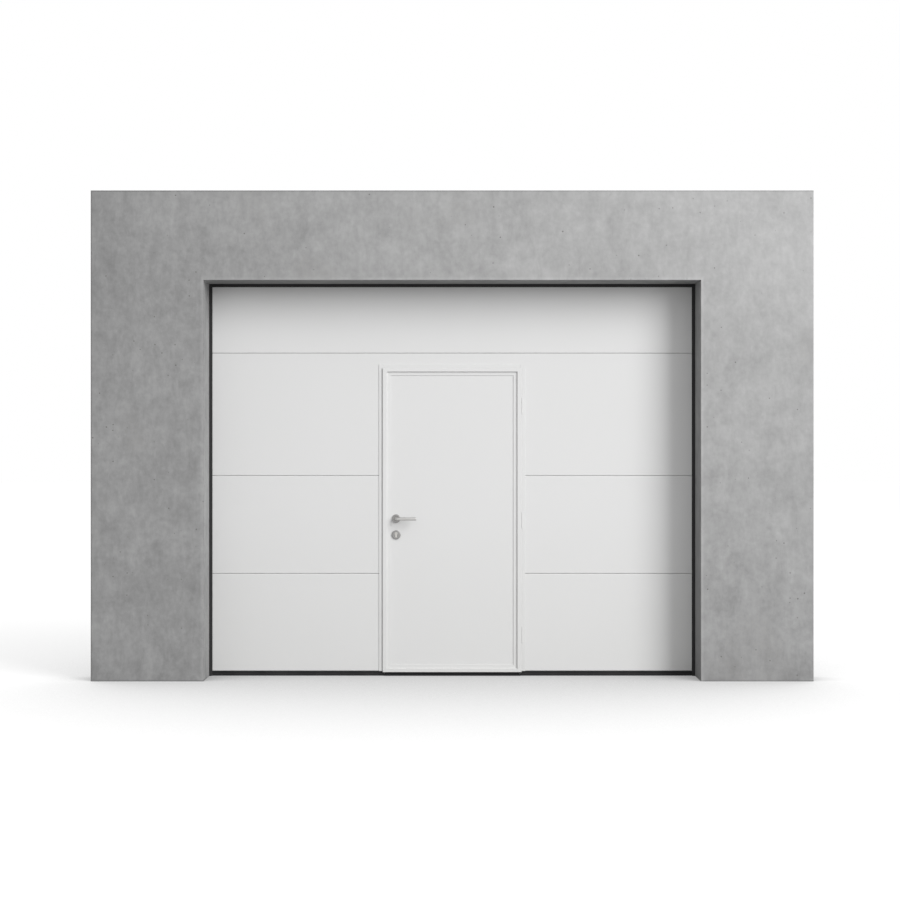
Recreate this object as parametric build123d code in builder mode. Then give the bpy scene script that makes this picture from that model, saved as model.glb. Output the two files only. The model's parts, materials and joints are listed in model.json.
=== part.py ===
from build123d import *
import os

# Sectional garage door with a wicket door, behind a concrete portal wall.
# Origin: middle of the opening, floor level, mid-plane of the door sections.
# +X to the right seen from outside, +Y into the garage, +Z up. Millimetres.

# Wall and opening
opening_width = 3000
opening_height = 2420
wall_depth = 240
pier_width = 680
lintel_height = 540
wall_chamfer = 4

# Door sections
section_thickness = 42
section_overlap = 40
section_joints = (631, 1236, 1993)
section_bottom = 30
section_above_opening = 73
section_gap = 1.3
joint_radius = 5
tongue_width = 18
tongue_height = 10
tongue_clearance = 0.5
seat = 0.3

# Seals
seal_room = 12
seal_lip = 19
seal_base_width = 45
seal_base_thickness = 3
seal_lip_thickness = 4
bottom_seal_retainer = 10
bottom_seal_inset = 1
bottom_seal_bulb_width = 37
bottom_seal_bulb_radius = 4
bottom_seal_neck = 22

# Wicket door: a rebated leaf whose flange laps over the frame
leaf_width = 857
leaf_bottom = 24
leaf_top = 1901
stile_band = 25.5
rail_band = 22.5
stile_step = 23.8
rail_step = 21.5
leaf_step_proud = 4
flange_lap = 13.5
flange_thickness = 4.5
flange_chamfer = 1.2
frame_strip = 23.5
frame_proud = 4.2
frame_back = 9
wicket_gap = 6
stop_reach = 14
moving_clearance = 5
threshold_height = 10
threshold_chamfer = 3
edge_chamfer = 1
leaf_seal_inset = 2
leaf_seal_fillet = 3

# Wicket hinges
hinge_count = 3
hinge_end_distance = 230
hinge_length = 96
hinge_pin_radius = 2.5
hinge_barrel_radius = 4
hinge_barrel_clear = 0.5
hinge_plate_thickness = 1.5
hinge_plate_depth = 34
pin_clearance = 0.05
knuckle_gap = 0.5

# Lock and lever
lever_x = -346
lever_z = 971
lever_radius = 9.5
lever_reach = 124
lever_projection = 55
lever_bend = 20
lever_end_chamfer = 2
lever_collar_radius = 11
lever_collar_length = 11
lever_clear_of_leaf = 1
rose_radius = 26
rose_thickness = 8
rose_chamfer = 2
escutcheon_radius = 27.5
spindle_side = 8
spindle_clearance = 0.1
spindle_insert = 32
spindle_hole_radius = 11
lock_distance = 92
plug_above_escutcheon = 8
plug_radius = 8.5
cylinder_web_width = 10
cylinder_height = 33
cylinder_proud = 1.5
cylinder_clearance = 0.3
cylinder_hole_clearance = 1
keyway_width = 2.4
keyway_height = 9
keyway_depth = 14
forend_width = 24
forend_length = 235
forend_thickness = 3
strike_length = 200

# Tracks and rollers
roller_radius = 24
roller_width = 13
roller_play = 0.8
axle_radius = 5.5
axle_play = 0.05
roller_standoff = 30
track_thickness = 2
track_flange = 26
track_clear_of_section = 26
curve_radius = 300
horizontal_reach = 2450
bottom_roller_height = 75
top_roller_drop = 53
bracket_length = 40
bracket_plate = 3
bracket_height = 90
bracket_foot = 54
holder_wall = 3
bottom_bracket_margin = 15
angle_thickness = 2
angle_wall_flange = 85
angle_above_bend = 120
angle_leg_depth = 105
spacer_width = 40
spacer_heights = (250, 900, 1550, 2200)

# Section hinges
inner_hinge_width = 60
inner_hinge_height = 100
inner_hinge_plate = 2
inner_hinge_knuckle = 7
inner_hinge_edge_distance = 70

# Counterbalance
shaft_radius = 12.7
drum_clear_of_track = 23.2
shaft_end = 30
drum_radius = 54
drum_flange_radius = 60
drum_width = 44
drum_groove_pitch = 5
drum_groove_depth = 1.5
drum_flange = 4
drum_shoulder = 5
cable_radius = 2
cable_clear_of_axle = 8.5
cable_pin_radius = 4
cable_pin_rise = 45
cable_eye_wall = 4
spring_radius = 27
spring_inner_radius = 21
spring_length = 680
spring_cone_length = 45
spring_cone_radius = 32
shaft_play = 0.1
bearing_plate_thickness = 4
bearing_plate_width = 90
centre_bracket_height = 140

# Rear support
cross_bar_height = 40
cross_bar_depth = 30
cross_bar_thickness = 2
hanger_width = 35
hanger_thickness = 3
hanger_foot_length = 110
hanger_hole_radius = 4.5
hanger_hole_spacing = 70

# Derived planes and edges
wall_back = -section_thickness / 2 - seal_room
wall_front = wall_back - wall_depth
wall_top = opening_height + lintel_height
half_opening = opening_width / 2
section_top = opening_height + section_above_opening
half_wall = half_opening + pier_width
half_section = half_opening + section_overlap
section_front = -section_thickness / 2
section_back = section_thickness / 2
frame_front = section_front - frame_proud
flange_back = frame_front - moving_clearance
flange_front = flange_back - flange_thickness
step_front = section_front - leaf_step_proud
half_leaf = leaf_width / 2
half_body = half_leaf - flange_lap
frame_inner = half_body + wicket_gap
frame_outer = half_leaf + frame_strip
body_top = leaf_top - flange_lap
head_bottom = body_top + wicket_gap
wicket_top = leaf_top + frame_strip
half_panel = half_leaf - stile_band - stile_step
panel_bottom = leaf_bottom + rail_band + rail_step
panel_top = leaf_top - rail_band - rail_step
frame_rear = section_back + frame_back
roller_y = section_back + roller_standoff
track_half_gap = roller_radius + roller_play
track_inner_x = half_section + track_clear_of_section
track_outer_x = track_inner_x + track_flange
curve_start = section_top - top_roller_drop
angle_top = curve_start + angle_above_bend
horizontal_z = curve_start + curve_radius
track_top = horizontal_z + track_half_gap + track_thickness
shaft_height = track_top + drum_clear_of_track + drum_flange_radius
horizontal_y = roller_y + curve_radius
track_end_y = horizontal_y + horizontal_reach
cable_y = roller_y - axle_radius - cable_clear_of_axle - cable_radius
cable_x = half_section + track_clear_of_section / 2
pin_height = bottom_roller_height + cable_pin_rise
shaft_y = cable_y + cable_radius + seat + drum_radius
roller_heights = (bottom_roller_height, *section_joints, curve_start)
leg_outer_x = track_outer_x + spacer_width
pin_x = half_leaf + hinge_barrel_clear + hinge_barrel_radius
pin_y = flange_back
sides = (("left", -1), ("right", 1))

os.makedirs("parts", exist_ok=True)


def save(piece, node):
    """Label a finished piece with its node name and write it as STEP."""
    piece.part.label = node
    export_step(piece.part, f"parts/{node}.step")


def block(x_span, y_span, z_span, mode=Mode.ADD):
    """Add a plain block between two limits on each axis to the part being built."""
    spans = (x_span, y_span, z_span)
    with Locations(tuple((low + high) / 2 for low, high in spans)):
        Box(*(abs(high - low) for low, high in spans), mode=mode)


def span(side, near, far):
    """Limits on X of something on one side of the door, from its near and far distances."""
    return tuple(sorted((side * near, side * far)))


# Concrete portal: a pier at each side, and the lintel across both
for name, side in sides:
    with BuildPart() as pier:
        block(span(side, half_opening, half_wall), (wall_front, wall_back), (0, opening_height))
        outer_edges = pier.edges().filter_by(Axis.Z).group_by(Axis.X)[-1 if side > 0 else 0]
        chamfer(outer_edges, wall_chamfer)
    save(pier, f"{name}_pier")

with BuildPart() as lintel:
    block((-half_wall, half_wall), (wall_front, wall_back), (opening_height, wall_top))
    chamfer(lintel.edges().filter_by(Axis.Z), wall_chamfer)
save(lintel, "lintel")


# Sections: insulated panels with a tongue on top and a groove below
def section_panel(x_span, bottom, top, grooved=True, tongued=True):
    """One insulated section between two heights, its edges rounded at the joints."""
    low = bottom + (section_gap / 2 if grooved else 0)
    high = top - (section_gap / 2 if tongued else 0)
    with BuildPart() as panel:
        with BuildSketch(Plane.YZ.offset(x_span[0])) as outline:
            with Locations((0, (low + high) / 2)):
                Rectangle(section_thickness, high - low)
            fillet(outline.vertices(), joint_radius)
            if tongued:
                with Locations((0, high - joint_radius)):
                    Rectangle(tongue_width, tongue_height + joint_radius, align=(Align.CENTER, Align.MIN))
            if grooved:
                with Locations((0, low)):
                    Rectangle(
                        tongue_width + 2 * tongue_clearance,
                        tongue_height + tongue_clearance,
                        align=(Align.CENTER, Align.MIN),
                        mode=Mode.SUBTRACT,
                    )
        extrude(amount=x_span[1] - x_span[0])
    return panel


lower_joint, middle_joint, upper_joint = section_joints
full_width = (-half_section, half_section)

save(section_panel(full_width, upper_joint, section_top, tongued=False), "top_section")

with BuildPart() as upper_section:
    add(section_panel(full_width, middle_joint, upper_joint).part)
    block(
        (-frame_outer - seat, frame_outer + seat),
        (-section_thickness, section_thickness),
        (middle_joint - section_thickness, wicket_top + seat),
        mode=Mode.SUBTRACT,
    )
save(upper_section, "upper_section")

for name, side in sides:
    beside = span(side, frame_outer + seat, half_section)
    save(section_panel(beside, lower_joint, middle_joint), f"{name}_middle_section")
    save(section_panel(beside, section_bottom, lower_joint, grooved=False), f"{name}_bottom_section")

# Bottom seals: a retainer strip with a rounded rubber bulb that rests on the floor
bulb_height = section_bottom - bottom_seal_retainer
with BuildPart() as bottom_seals:
    for _, side in sides:
        x_span = span(side, frame_inner, half_section)
        with BuildSketch(Plane.YZ.offset(x_span[0])) as outline:
            with Locations((0, section_bottom - bottom_seal_retainer / 2)):
                Rectangle(section_thickness - 2 * bottom_seal_inset, bottom_seal_retainer)
            with Locations((0, bulb_height / 2)):
                RectangleRounded(bottom_seal_bulb_width, bulb_height, bottom_seal_bulb_radius)
            with Locations((0, bulb_height)):
                Rectangle(bottom_seal_neck, bottom_seal_retainer)
        extrude(amount=x_span[1] - x_span[0])
save(bottom_seals, "bottom_seals")


# Perimeter seals: a base strip on the wall's rear face and a lip that bears on the sections
def seal_outline(edge):
    """Seal outline: the lip starts over the opening's edge and reaches the face of the sections."""
    base_end = edge + seal_base_width
    lip_tip = edge - seal_lip
    lip_front = wall_back + seal_base_thickness
    lip_rear = section_front - seat
    return [
        (base_end, wall_back),
        (base_end, wall_back + seal_base_thickness),
        (edge + seal_lip_thickness, lip_front),
        (lip_tip + seal_lip_thickness, lip_rear),
        (lip_tip, lip_rear),
        (lip_tip, lip_rear - seal_lip_thickness),
        (edge - seal_lip_thickness, wall_back),
    ]


with BuildPart() as side_seals:
    for _, side in sides:
        with BuildSketch(Plane.XY):
            with BuildLine():
                Polyline([(side * x, y) for x, y in seal_outline(half_opening)], close=True)
            make_face()
        extrude(amount=section_top)
save(side_seals, "side_seals")

with BuildPart() as top_seal:
    with BuildSketch(Plane.YZ.offset(-half_opening + seal_lip + seat)):
        with BuildLine():
            Polyline([(y, z) for z, y in seal_outline(opening_height)], close=True)
        make_face()
    extrude(amount=opening_width - 2 * (seal_lip + seat))
save(top_seal, "top_seal")


# Wicket frame: two posts and a head, each with a stop behind the leaf, and a low threshold
strike_middle = lever_z - lock_distance / 2
strike_span = (strike_middle - strike_length / 2, strike_middle + strike_length / 2)
forend_span = (strike_middle - forend_length / 2, strike_middle + forend_length / 2)
forend_depth = (-forend_width / 2, forend_width / 2)
strike_x = span(-1, frame_inner, frame_inner + forend_thickness)
forend_x = span(-1, half_body - forend_thickness, half_body)
stop_depth = (section_back + moving_clearance, frame_rear)
stop_end = half_body - stop_reach


def frame_post(side):
    """Upright of the fixed frame, its stop reaching behind the leaf's edge."""
    with BuildPart() as post:
        block(span(side, frame_inner, frame_outer), (frame_front, frame_rear), (section_bottom, wicket_top))
        chamfer(post.edges().filter_by(Axis.Z).group_by(Axis.Y)[0], edge_chamfer)
        block(span(side, stop_end, frame_inner), stop_depth, (section_bottom, head_bottom))
    return post


with BuildPart() as frame_lock_post:
    add(frame_post(-1).part)
    block(strike_x, forend_depth, strike_span, mode=Mode.SUBTRACT)
save(frame_lock_post, "wicket_frame_lock_post")
save(frame_post(1), "wicket_frame_hinge_post")

with BuildPart() as frame_head:
    half_head = frame_inner - seat
    half_stop = stop_end - seat
    block((-half_head, half_head), (frame_front, frame_rear), (head_bottom, wicket_top))
    chamfer(frame_head.edges().filter_by(Axis.X).group_by(Axis.Y)[0], edge_chamfer)
    block((-half_stop, half_stop), stop_depth, (body_top - stop_reach, head_bottom))
save(frame_head, "wicket_frame_head")

with BuildPart() as threshold:
    block((-half_head, half_head), (frame_front, frame_rear), (0, threshold_height))
    chamfer(threshold.edges().filter_by(Axis.X).group_by(Axis.Z)[-1], threshold_chamfer)
    block((-half_stop, half_stop), stop_depth, (threshold_height / 2, leaf_bottom + stop_reach / 2))
save(threshold, "threshold")

with BuildPart() as strike_plate:
    block(strike_x, forend_depth, strike_span)
    for height in (lever_z, lever_z - lock_distance):
        block(
            span(-1, frame_inner - forend_thickness, frame_inner + 2 * forend_thickness),
            (-forend_width / 4, forend_width / 4),
            (height - forend_width / 2, height + forend_width / 2),
            mode=Mode.SUBTRACT,
        )
save(strike_plate, "strike_plate")

# Wicket leaf: a smooth panel in an edge frame, stepped up to the flange that laps over the posts
escutcheon_z = lever_z - lock_distance - plug_above_escutcheon
plug_z = lever_z - lock_distance


def profile_cylinder_outline(clearance):
    """Outline of a profile cylinder seen from the front, drawn around its plug's axis."""
    web_end = plug_radius - cylinder_height + cylinder_web_width / 2
    with BuildSketch(Plane.XZ) as outline:
        with Locations((lever_x, plug_z)):
            Circle(plug_radius + clearance)
        with Locations((lever_x, plug_z + web_end / 2)):
            Rectangle(cylinder_web_width + 2 * clearance, -web_end)
        with Locations((lever_x, plug_z + web_end)):
            Circle(cylinder_web_width / 2 + clearance)
    return outline.sketch


with BuildPart() as leaf_panel:
    block((-half_panel, half_panel), (section_front, section_back), (panel_bottom, panel_top))
    with Locations(Location((lever_x, 0, lever_z), (90, 0, 0))):
        Cylinder(spindle_hole_radius, 2 * section_thickness, mode=Mode.SUBTRACT)
    cylinder_hole = profile_cylinder_outline(cylinder_hole_clearance)
    extrude(cylinder_hole, amount=section_thickness, both=True, mode=Mode.SUBTRACT)
save(leaf_panel, "leaf_panel")

with BuildPart() as edge_ring:
    half_band = half_leaf - stile_band
    band_heights = (leaf_bottom + rail_band, leaf_top - rail_band)
    block((-half_body, half_body), (flange_front, section_back), (leaf_bottom, body_top))
    block((-half_leaf, half_leaf), (flange_front, flange_back), (leaf_bottom, leaf_top))
    block((-half_band, half_band), (flange_front, step_front), band_heights, mode=Mode.SUBTRACT)
    chamfer(edge_ring.edges().filter_by_position(Axis.Y, flange_front, flange_front), flange_chamfer)
    block(
        (-half_panel, half_panel),
        (flange_front, section_back),
        (panel_bottom, panel_top),
        mode=Mode.SUBTRACT,
    )


def edge_member(corners):
    """The parts of the leaf's edge frame that lie inside mitred outlines seen from the front."""
    with BuildPart() as member:
        add(edge_ring.part)
        with BuildSketch(Plane.XZ):
            for outline in corners:
                with BuildLine():
                    Polyline(outline, close=True)
                make_face()
        extrude(amount=section_thickness, both=True, mode=Mode.INTERSECT)
    return member


def stile_corners(side):
    """Mitred outline of an upright of the leaf's edge frame."""
    return [
        (side * half_leaf, leaf_bottom),
        (side * half_leaf, leaf_top),
        (side * half_panel, panel_top),
        (side * half_panel, panel_bottom),
    ]


def rail_corners(outer_z, inner_z):
    """Mitred outline of a rail of the leaf's edge frame."""
    return [(-half_leaf, outer_z), (half_leaf, outer_z), (half_panel, inner_z), (-half_panel, inner_z)]


with BuildPart() as lock_stile:
    add(edge_member([stile_corners(-1)]).part)
    block(forend_x, forend_depth, forend_span, mode=Mode.SUBTRACT)
save(lock_stile, "leaf_lock_stile")
save(edge_member([stile_corners(1)]), "leaf_hinge_stile")

rail_outlines = [rail_corners(leaf_top, panel_top), rail_corners(leaf_bottom, panel_bottom)]
save(edge_member(rail_outlines), "leaf_rails")

with BuildPart() as leaf_bottom_seal:
    block(
        (-half_body, half_body),
        (flange_back, section_back - leaf_seal_inset),
        (threshold_height + moving_clearance, leaf_bottom),
    )
    fillet(leaf_bottom_seal.edges().filter_by(Axis.X).group_by(Axis.Z)[0], leaf_seal_fillet)
save(leaf_bottom_seal, "leaf_bottom_seal")

# Wicket hinges: cranked plates behind the flange, the outer knuckles and the pin on the frame,
# the middle knuckle on the leaf
hinge_rise = leaf_top - leaf_bottom - 2 * hinge_end_distance
hinge_pitch = hinge_rise / (hinge_count - 1)
hinge_heights = [leaf_bottom + hinge_end_distance + i * hinge_pitch for i in range(hinge_count)]
half_hinge = hinge_length / 2
half_middle = hinge_length / 6
frame_plate_y = (frame_front - hinge_plate_thickness, frame_front)
leaf_plate_y = (flange_back, flange_back + hinge_plate_thickness)

with BuildPart() as frame_hinges:
    for height in hinge_heights:
        full = (height - half_hinge, height + half_hinge)
        edge_plate = (frame_inner - hinge_plate_thickness, frame_inner)
        block(edge_plate, (frame_plate_y[0], frame_plate_y[0] + hinge_plate_depth), full)
        block((edge_plate[0], half_leaf), frame_plate_y, full)
        for third in ((full[0], height - half_middle), (height + half_middle, full[1])):
            block((edge_plate[0], pin_x), frame_plate_y, third)
            block((pin_x - hinge_pin_radius, pin_x + hinge_pin_radius), (pin_y, frame_front), third)
            with Locations((pin_x, pin_y, sum(third) / 2)):
                Cylinder(hinge_barrel_radius, third[1] - third[0])
        with Locations((pin_x, pin_y, height)):
            Cylinder(hinge_pin_radius, hinge_length)
save(frame_hinges, "frame_hinge_halves")

with BuildPart() as leaf_hinges:
    for height in hinge_heights:
        full = (height - half_hinge, height + half_hinge)
        middle = (height - half_middle + knuckle_gap, height + half_middle - knuckle_gap)
        leaf_edge = (half_body, half_body + hinge_plate_thickness)
        block(leaf_edge, (flange_back, flange_back + hinge_plate_depth), full)
        block((half_body, half_leaf), leaf_plate_y, full)
        block((half_leaf, pin_x), leaf_plate_y, middle)
        with Locations((pin_x, pin_y, height)):
            Cylinder(hinge_barrel_radius, middle[1] - middle[0])
            Cylinder(hinge_pin_radius + pin_clearance, hinge_length, mode=Mode.SUBTRACT)
save(leaf_hinges, "leaf_hinge_halves")

# Lock: forend in the leaf's edge, profile cylinder, round roses and escutcheons on both faces
with BuildPart() as lock_forend:
    block(forend_x, forend_depth, forend_span)
save(lock_forend, "lock_forend")

cylinder_reach = section_back + rose_thickness + cylinder_proud
with BuildPart() as lock_cylinder:
    extrude(profile_cylinder_outline(0), amount=cylinder_reach, both=True)
    for direction in (-1, 1):
        block(
            (lever_x - keyway_width / 2, lever_x + keyway_width / 2),
            sorted((direction * (cylinder_reach - keyway_depth), direction * cylinder_reach)),
            (plug_z - keyway_height / 2, plug_z + keyway_height / 2),
            mode=Mode.SUBTRACT,
        )
save(lock_cylinder, "lock_cylinder")

faces = (("outer", -1), ("inner", 1))


def round_plate(height, radius, direction):
    """A round cover plate on one face of the leaf, its outer edge bevelled."""
    y_middle = direction * (section_back + rose_thickness / 2)
    with BuildPart() as plate:
        with Locations(Location((lever_x, y_middle, height), (90, 0, 0))):
            Cylinder(radius, rose_thickness)
        outer_face = plate.faces().sort_by(Axis.Y)[-1 if direction > 0 else 0]
        chamfer(outer_face.edges(), rose_chamfer)
    return plate.part


with BuildPart() as roses:
    for _, direction in faces:
        add(round_plate(lever_z, rose_radius, direction))
    with Locations(Location((lever_x, 0, lever_z), (90, 0, 0))):
        Cylinder(lever_collar_radius + seat, 4 * section_thickness, mode=Mode.SUBTRACT)
save(roses, "lever_roses")

with BuildPart() as escutcheons:
    for _, direction in faces:
        add(round_plate(escutcheon_z, escutcheon_radius, direction))
    cut = profile_cylinder_outline(cylinder_clearance)
    extrude(cut, amount=2 * section_thickness, both=True, mode=Mode.SUBTRACT)
save(escutcheons, "lock_escutcheons")

# Levers: a round bar that leaves the rose, bends and runs level towards the hinges
collar_start = section_back + lever_clear_of_leaf
for name, direction in faces:
    with BuildPart() as lever:
        with BuildLine(Plane.XY.offset(lever_z)) as route:
            FilletPolyline(
                (lever_x, direction * collar_start),
                (lever_x, direction * (section_back + lever_projection)),
                (lever_x + lever_reach, direction * (section_back + lever_projection)),
                radius=lever_bend,
            )
        with BuildSketch(Plane(origin=route.line @ 0, z_dir=route.line % 0)):
            Circle(lever_radius)
        sweep()
        chamfer(lever.faces().sort_by(Axis.X)[-1].edges(), lever_end_chamfer)
        collar_middle = direction * (collar_start + lever_collar_length / 2)
        with Locations(Location((lever_x, collar_middle, lever_z), (90, 0, 0))):
            Cylinder(lever_collar_radius, lever_collar_length)
        socket = spindle_side / 2 + spindle_clearance
        block(
            (lever_x - socket, lever_x + socket),
            sorted((0, direction * (collar_start + spindle_insert))),
            (lever_z - socket, lever_z + socket),
            mode=Mode.SUBTRACT,
        )
    save(lever, f"{name}_lever")

with BuildPart() as spindle:
    spindle_reach = collar_start + spindle_insert - spindle_clearance
    block(
        (lever_x - spindle_side / 2, lever_x + spindle_side / 2),
        (-spindle_reach, spindle_reach),
        (lever_z - spindle_side / 2, lever_z + spindle_side / 2),
    )
save(spindle, "lever_spindle")


# Tracks: a channel open towards the door, upright, then curved, then level into the garage
def channel_outline(plane, side):
    """Channel section: web on the far side, a flange each way, drawn across the track's run."""
    with BuildSketch(plane) as outline:
        with Locations((side * (track_inner_x + track_flange / 2), 0)):
            Rectangle(track_flange, 2 * (track_half_gap + track_thickness))
        with Locations((side * (track_inner_x + (track_flange - track_thickness) / 2), 0)):
            Rectangle(track_flange - track_thickness, 2 * track_half_gap, mode=Mode.SUBTRACT)
    return outline.sketch


with BuildPart() as vertical_tracks:
    for _, side in sides:
        foot_plane = Plane(origin=(0, roller_y, 0))
        extrude(channel_outline(foot_plane, side), amount=curve_start)
save(vertical_tracks, "vertical_tracks")

with BuildPart() as curved_tracks:
    curve_axis = Axis((0, horizontal_y, curve_start), (-1, 0, 0))
    for _, side in sides:
        bend_plane = Plane(origin=(0, roller_y, curve_start))
        revolve(channel_outline(bend_plane, side), axis=curve_axis, revolution_arc=90)
save(curved_tracks, "curved_tracks")

with BuildPart() as horizontal_tracks:
    for _, side in sides:
        level_plane = Plane(origin=(0, horizontal_y, horizontal_z), x_dir=(1, 0, 0), z_dir=(0, 1, 0))
        extrude(channel_outline(level_plane, side), amount=horizontal_reach)
save(horizontal_tracks, "horizontal_tracks")

# Frame angles on the wall's rear face, with spacers out to the tracks
with BuildPart() as frame_angles:
    leg_far_y = wall_back + angle_leg_depth
    for _, side in sides:
        flange = span(side, leg_outer_x - angle_wall_flange, leg_outer_x)
        leg = span(side, leg_outer_x - angle_thickness, leg_outer_x)
        block(flange, (wall_back, wall_back + angle_thickness), (0, angle_top))
        block(leg, (wall_back, leg_far_y), (0, angle_top))
        for height in spacer_heights:
            spacer = span(side, track_outer_x, leg_outer_x)
            block(spacer, (roller_y - track_half_gap, leg_far_y), (height, height + spacer_width))
save(frame_angles, "frame_angles")

# Rollers, each turning on an axle that a holder on the section's inner face carries
roller_far = track_outer_x - track_thickness - roller_play
axle_near = half_section - section_overlap - bracket_length / 2
with BuildPart() as rollers:
    for _, side in sides:
        for height in roller_heights:
            roller_middle = side * (roller_far - roller_width / 2)
            with Locations(Location((roller_middle, roller_y, height), (0, 90, 0))):
                Cylinder(roller_radius, roller_width)
            axle_middle = side * (roller_far - roller_width + axle_near) / 2
            with Locations(Location((axle_middle, roller_y, height), (0, 90, 0))):
                Cylinder(axle_radius, roller_far - roller_width - axle_near)
save(rollers, "rollers")

holder_radius = axle_radius + axle_play + holder_wall
with BuildPart() as holders:
    for _, side in sides:
        holder_x = side * (axle_near + bracket_length / 2) - bracket_length / 2
        for height in roller_heights:
            with BuildSketch(Plane.YZ.offset(holder_x)):
                with Locations((section_back + bracket_plate / 2, height)):
                    Rectangle(bracket_plate, bracket_height)
                with BuildLine():
                    Polyline(
                        (section_back, height - bracket_foot / 2),
                        (roller_y, height - holder_radius),
                        (roller_y, height + holder_radius),
                        (section_back, height + bracket_foot / 2),
                        close=True,
                    )
                make_face()
                with Locations((roller_y, height)):
                    Circle(holder_radius)
                    Circle(axle_radius + axle_play, mode=Mode.SUBTRACT)
            extrude(amount=bracket_length)
save(holders, "roller_holders")

# Section hinges on the inner face, at the joints between the sections
near_hinge = frame_outer + inner_hinge_edge_distance
far_hinge = (near_hinge + half_section) / 2
with BuildPart() as section_hinges:
    for joint in section_joints:
        spots = [-far_hinge, -near_hinge, near_hinge, far_hinge]
        if joint == upper_joint:
            spots.append(0)
        for x in spots:
            with BuildSketch(Plane.YZ.offset(x - inner_hinge_width / 2)):
                with Locations((section_back + inner_hinge_plate / 2, joint)):
                    Rectangle(inner_hinge_plate, inner_hinge_height)
                with Locations((section_back + inner_hinge_knuckle, joint)):
                    Circle(inner_hinge_knuckle)
            extrude(amount=inner_hinge_width)
save(section_hinges, "section_hinges")

# Counterbalance: shaft, springs with end cones, cable drums, bearing plates and lift cables
shaft_half = leg_outer_x + bearing_plate_thickness + shaft_end
with BuildPart() as shaft:
    with Locations(Location((0, shaft_y, shaft_height), (0, 90, 0))):
        Cylinder(shaft_radius, 2 * shaft_half)
save(shaft, "torsion_shaft")

spring_near = bearing_plate_thickness + seat
spring_far = spring_near + spring_length
with BuildPart() as springs:
    for _, side in sides:
        coil_middle = side * (spring_near + spring_far) / 2
        with Locations(Location((coil_middle, shaft_y, shaft_height), (0, 90, 0))):
            Cylinder(spring_radius, spring_length)
        for cone_near in (spring_near, spring_far - spring_cone_length):
            cone_middle = side * (cone_near + spring_cone_length / 2)
            with Locations(Location((cone_middle, shaft_y, shaft_height), (0, 90, 0))):
                Cylinder(spring_cone_radius, spring_cone_length)
        with Locations(Location((coil_middle, shaft_y, shaft_height), (0, 90, 0))):
            Cylinder(spring_inner_radius, spring_length - 2 * spring_cone_length, mode=Mode.SUBTRACT)
            Cylinder(shaft_radius + shaft_play, spring_length, mode=Mode.SUBTRACT)
save(springs, "torsion_springs")

drum_grooves = int((drum_width - 2 * drum_shoulder) / drum_groove_pitch)
drum_outline = [(0, shaft_radius + shaft_play), (0, drum_flange_radius), (drum_flange, drum_flange_radius)]
for i in range(drum_grooves):
    start = drum_shoulder + i * drum_groove_pitch
    drum_outline.append((start, drum_radius))
    drum_outline.append((start + drum_groove_pitch / 2, drum_radius - drum_groove_depth))
drum_outline.append((drum_width - drum_shoulder, drum_radius))
drum_outline.append((drum_width - drum_flange, drum_flange_radius))
drum_outline.append((drum_width, drum_flange_radius))
drum_outline.append((drum_width, shaft_radius + shaft_play))
with BuildPart() as drums:
    for _, side in sides:
        drum_near = cable_x - drum_width / 2
        with BuildSketch(Plane.XZ.offset(-shaft_y)):
            with BuildLine():
                Polyline([(side * (drum_near + x), shaft_height + r) for x, r in drum_outline], close=True)
            make_face()
        revolve(axis=Axis((0, shaft_y, shaft_height), (1, 0, 0)))
save(drums, "cable_drums")

# Lift cables: taut from the drum down to an eye on the bottom bracket's pin
with BuildPart() as cables:
    eye_radius = cable_pin_radius + seat + cable_eye_wall
    for _, side in sides:
        cable_foot = pin_height + eye_radius - cable_radius
        with Locations((side * cable_x, cable_y, (cable_foot + shaft_height) / 2)):
            Cylinder(cable_radius, shaft_height - cable_foot)
        with Locations(Location((side * cable_x, cable_y, pin_height), (0, 90, 0))):
            Cylinder(eye_radius, 2 * cable_radius)
            Cylinder(cable_pin_radius + seat, 2 * cable_radius, mode=Mode.SUBTRACT)
save(cables, "lift_cables")

with BuildPart() as bearing_plates:
    plate_spots = (-leg_outer_x - bearing_plate_thickness / 2, 0, leg_outer_x + bearing_plate_thickness / 2)
    for x in plate_spots:
        with BuildSketch(Plane.YZ.offset(x - bearing_plate_thickness / 2)) as outline:
            with BuildLine():
                Polyline(
                    (wall_back, shaft_height - centre_bracket_height / 2),
                    (wall_back, shaft_height + centre_bracket_height / 2),
                    (shaft_y, shaft_height + bearing_plate_width / 2),
                    (shaft_y, shaft_height - bearing_plate_width / 2),
                    close=True,
                )
            make_face()
            with Locations((shaft_y, shaft_height)):
                Circle(bearing_plate_width / 2)
                Circle(shaft_radius + shaft_play, mode=Mode.SUBTRACT)
        extrude(amount=bearing_plate_thickness)
        block(
            (x - bearing_plate_width / 2, x + bearing_plate_width / 2),
            (wall_back, wall_back + bearing_plate_thickness),
            (shaft_height - centre_bracket_height / 2, shaft_height + centre_bracket_height / 2),
        )
save(bearing_plates, "bearing_plates")

# Rear support: a cross bar over the ends of the level tracks, and a hanger at each side
with BuildPart() as cross_bar:
    block(
        (-leg_outer_x, leg_outer_x),
        (track_end_y - cross_bar_depth, track_end_y),
        (track_top, track_top + cross_bar_height),
    )
    block(
        (-leg_outer_x, leg_outer_x),
        (track_end_y - cross_bar_depth + cross_bar_thickness, track_end_y),
        (track_top + cross_bar_thickness, track_top + cross_bar_height - cross_bar_thickness),
        mode=Mode.SUBTRACT,
    )
save(cross_bar, "rear_cross_bar")

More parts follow.
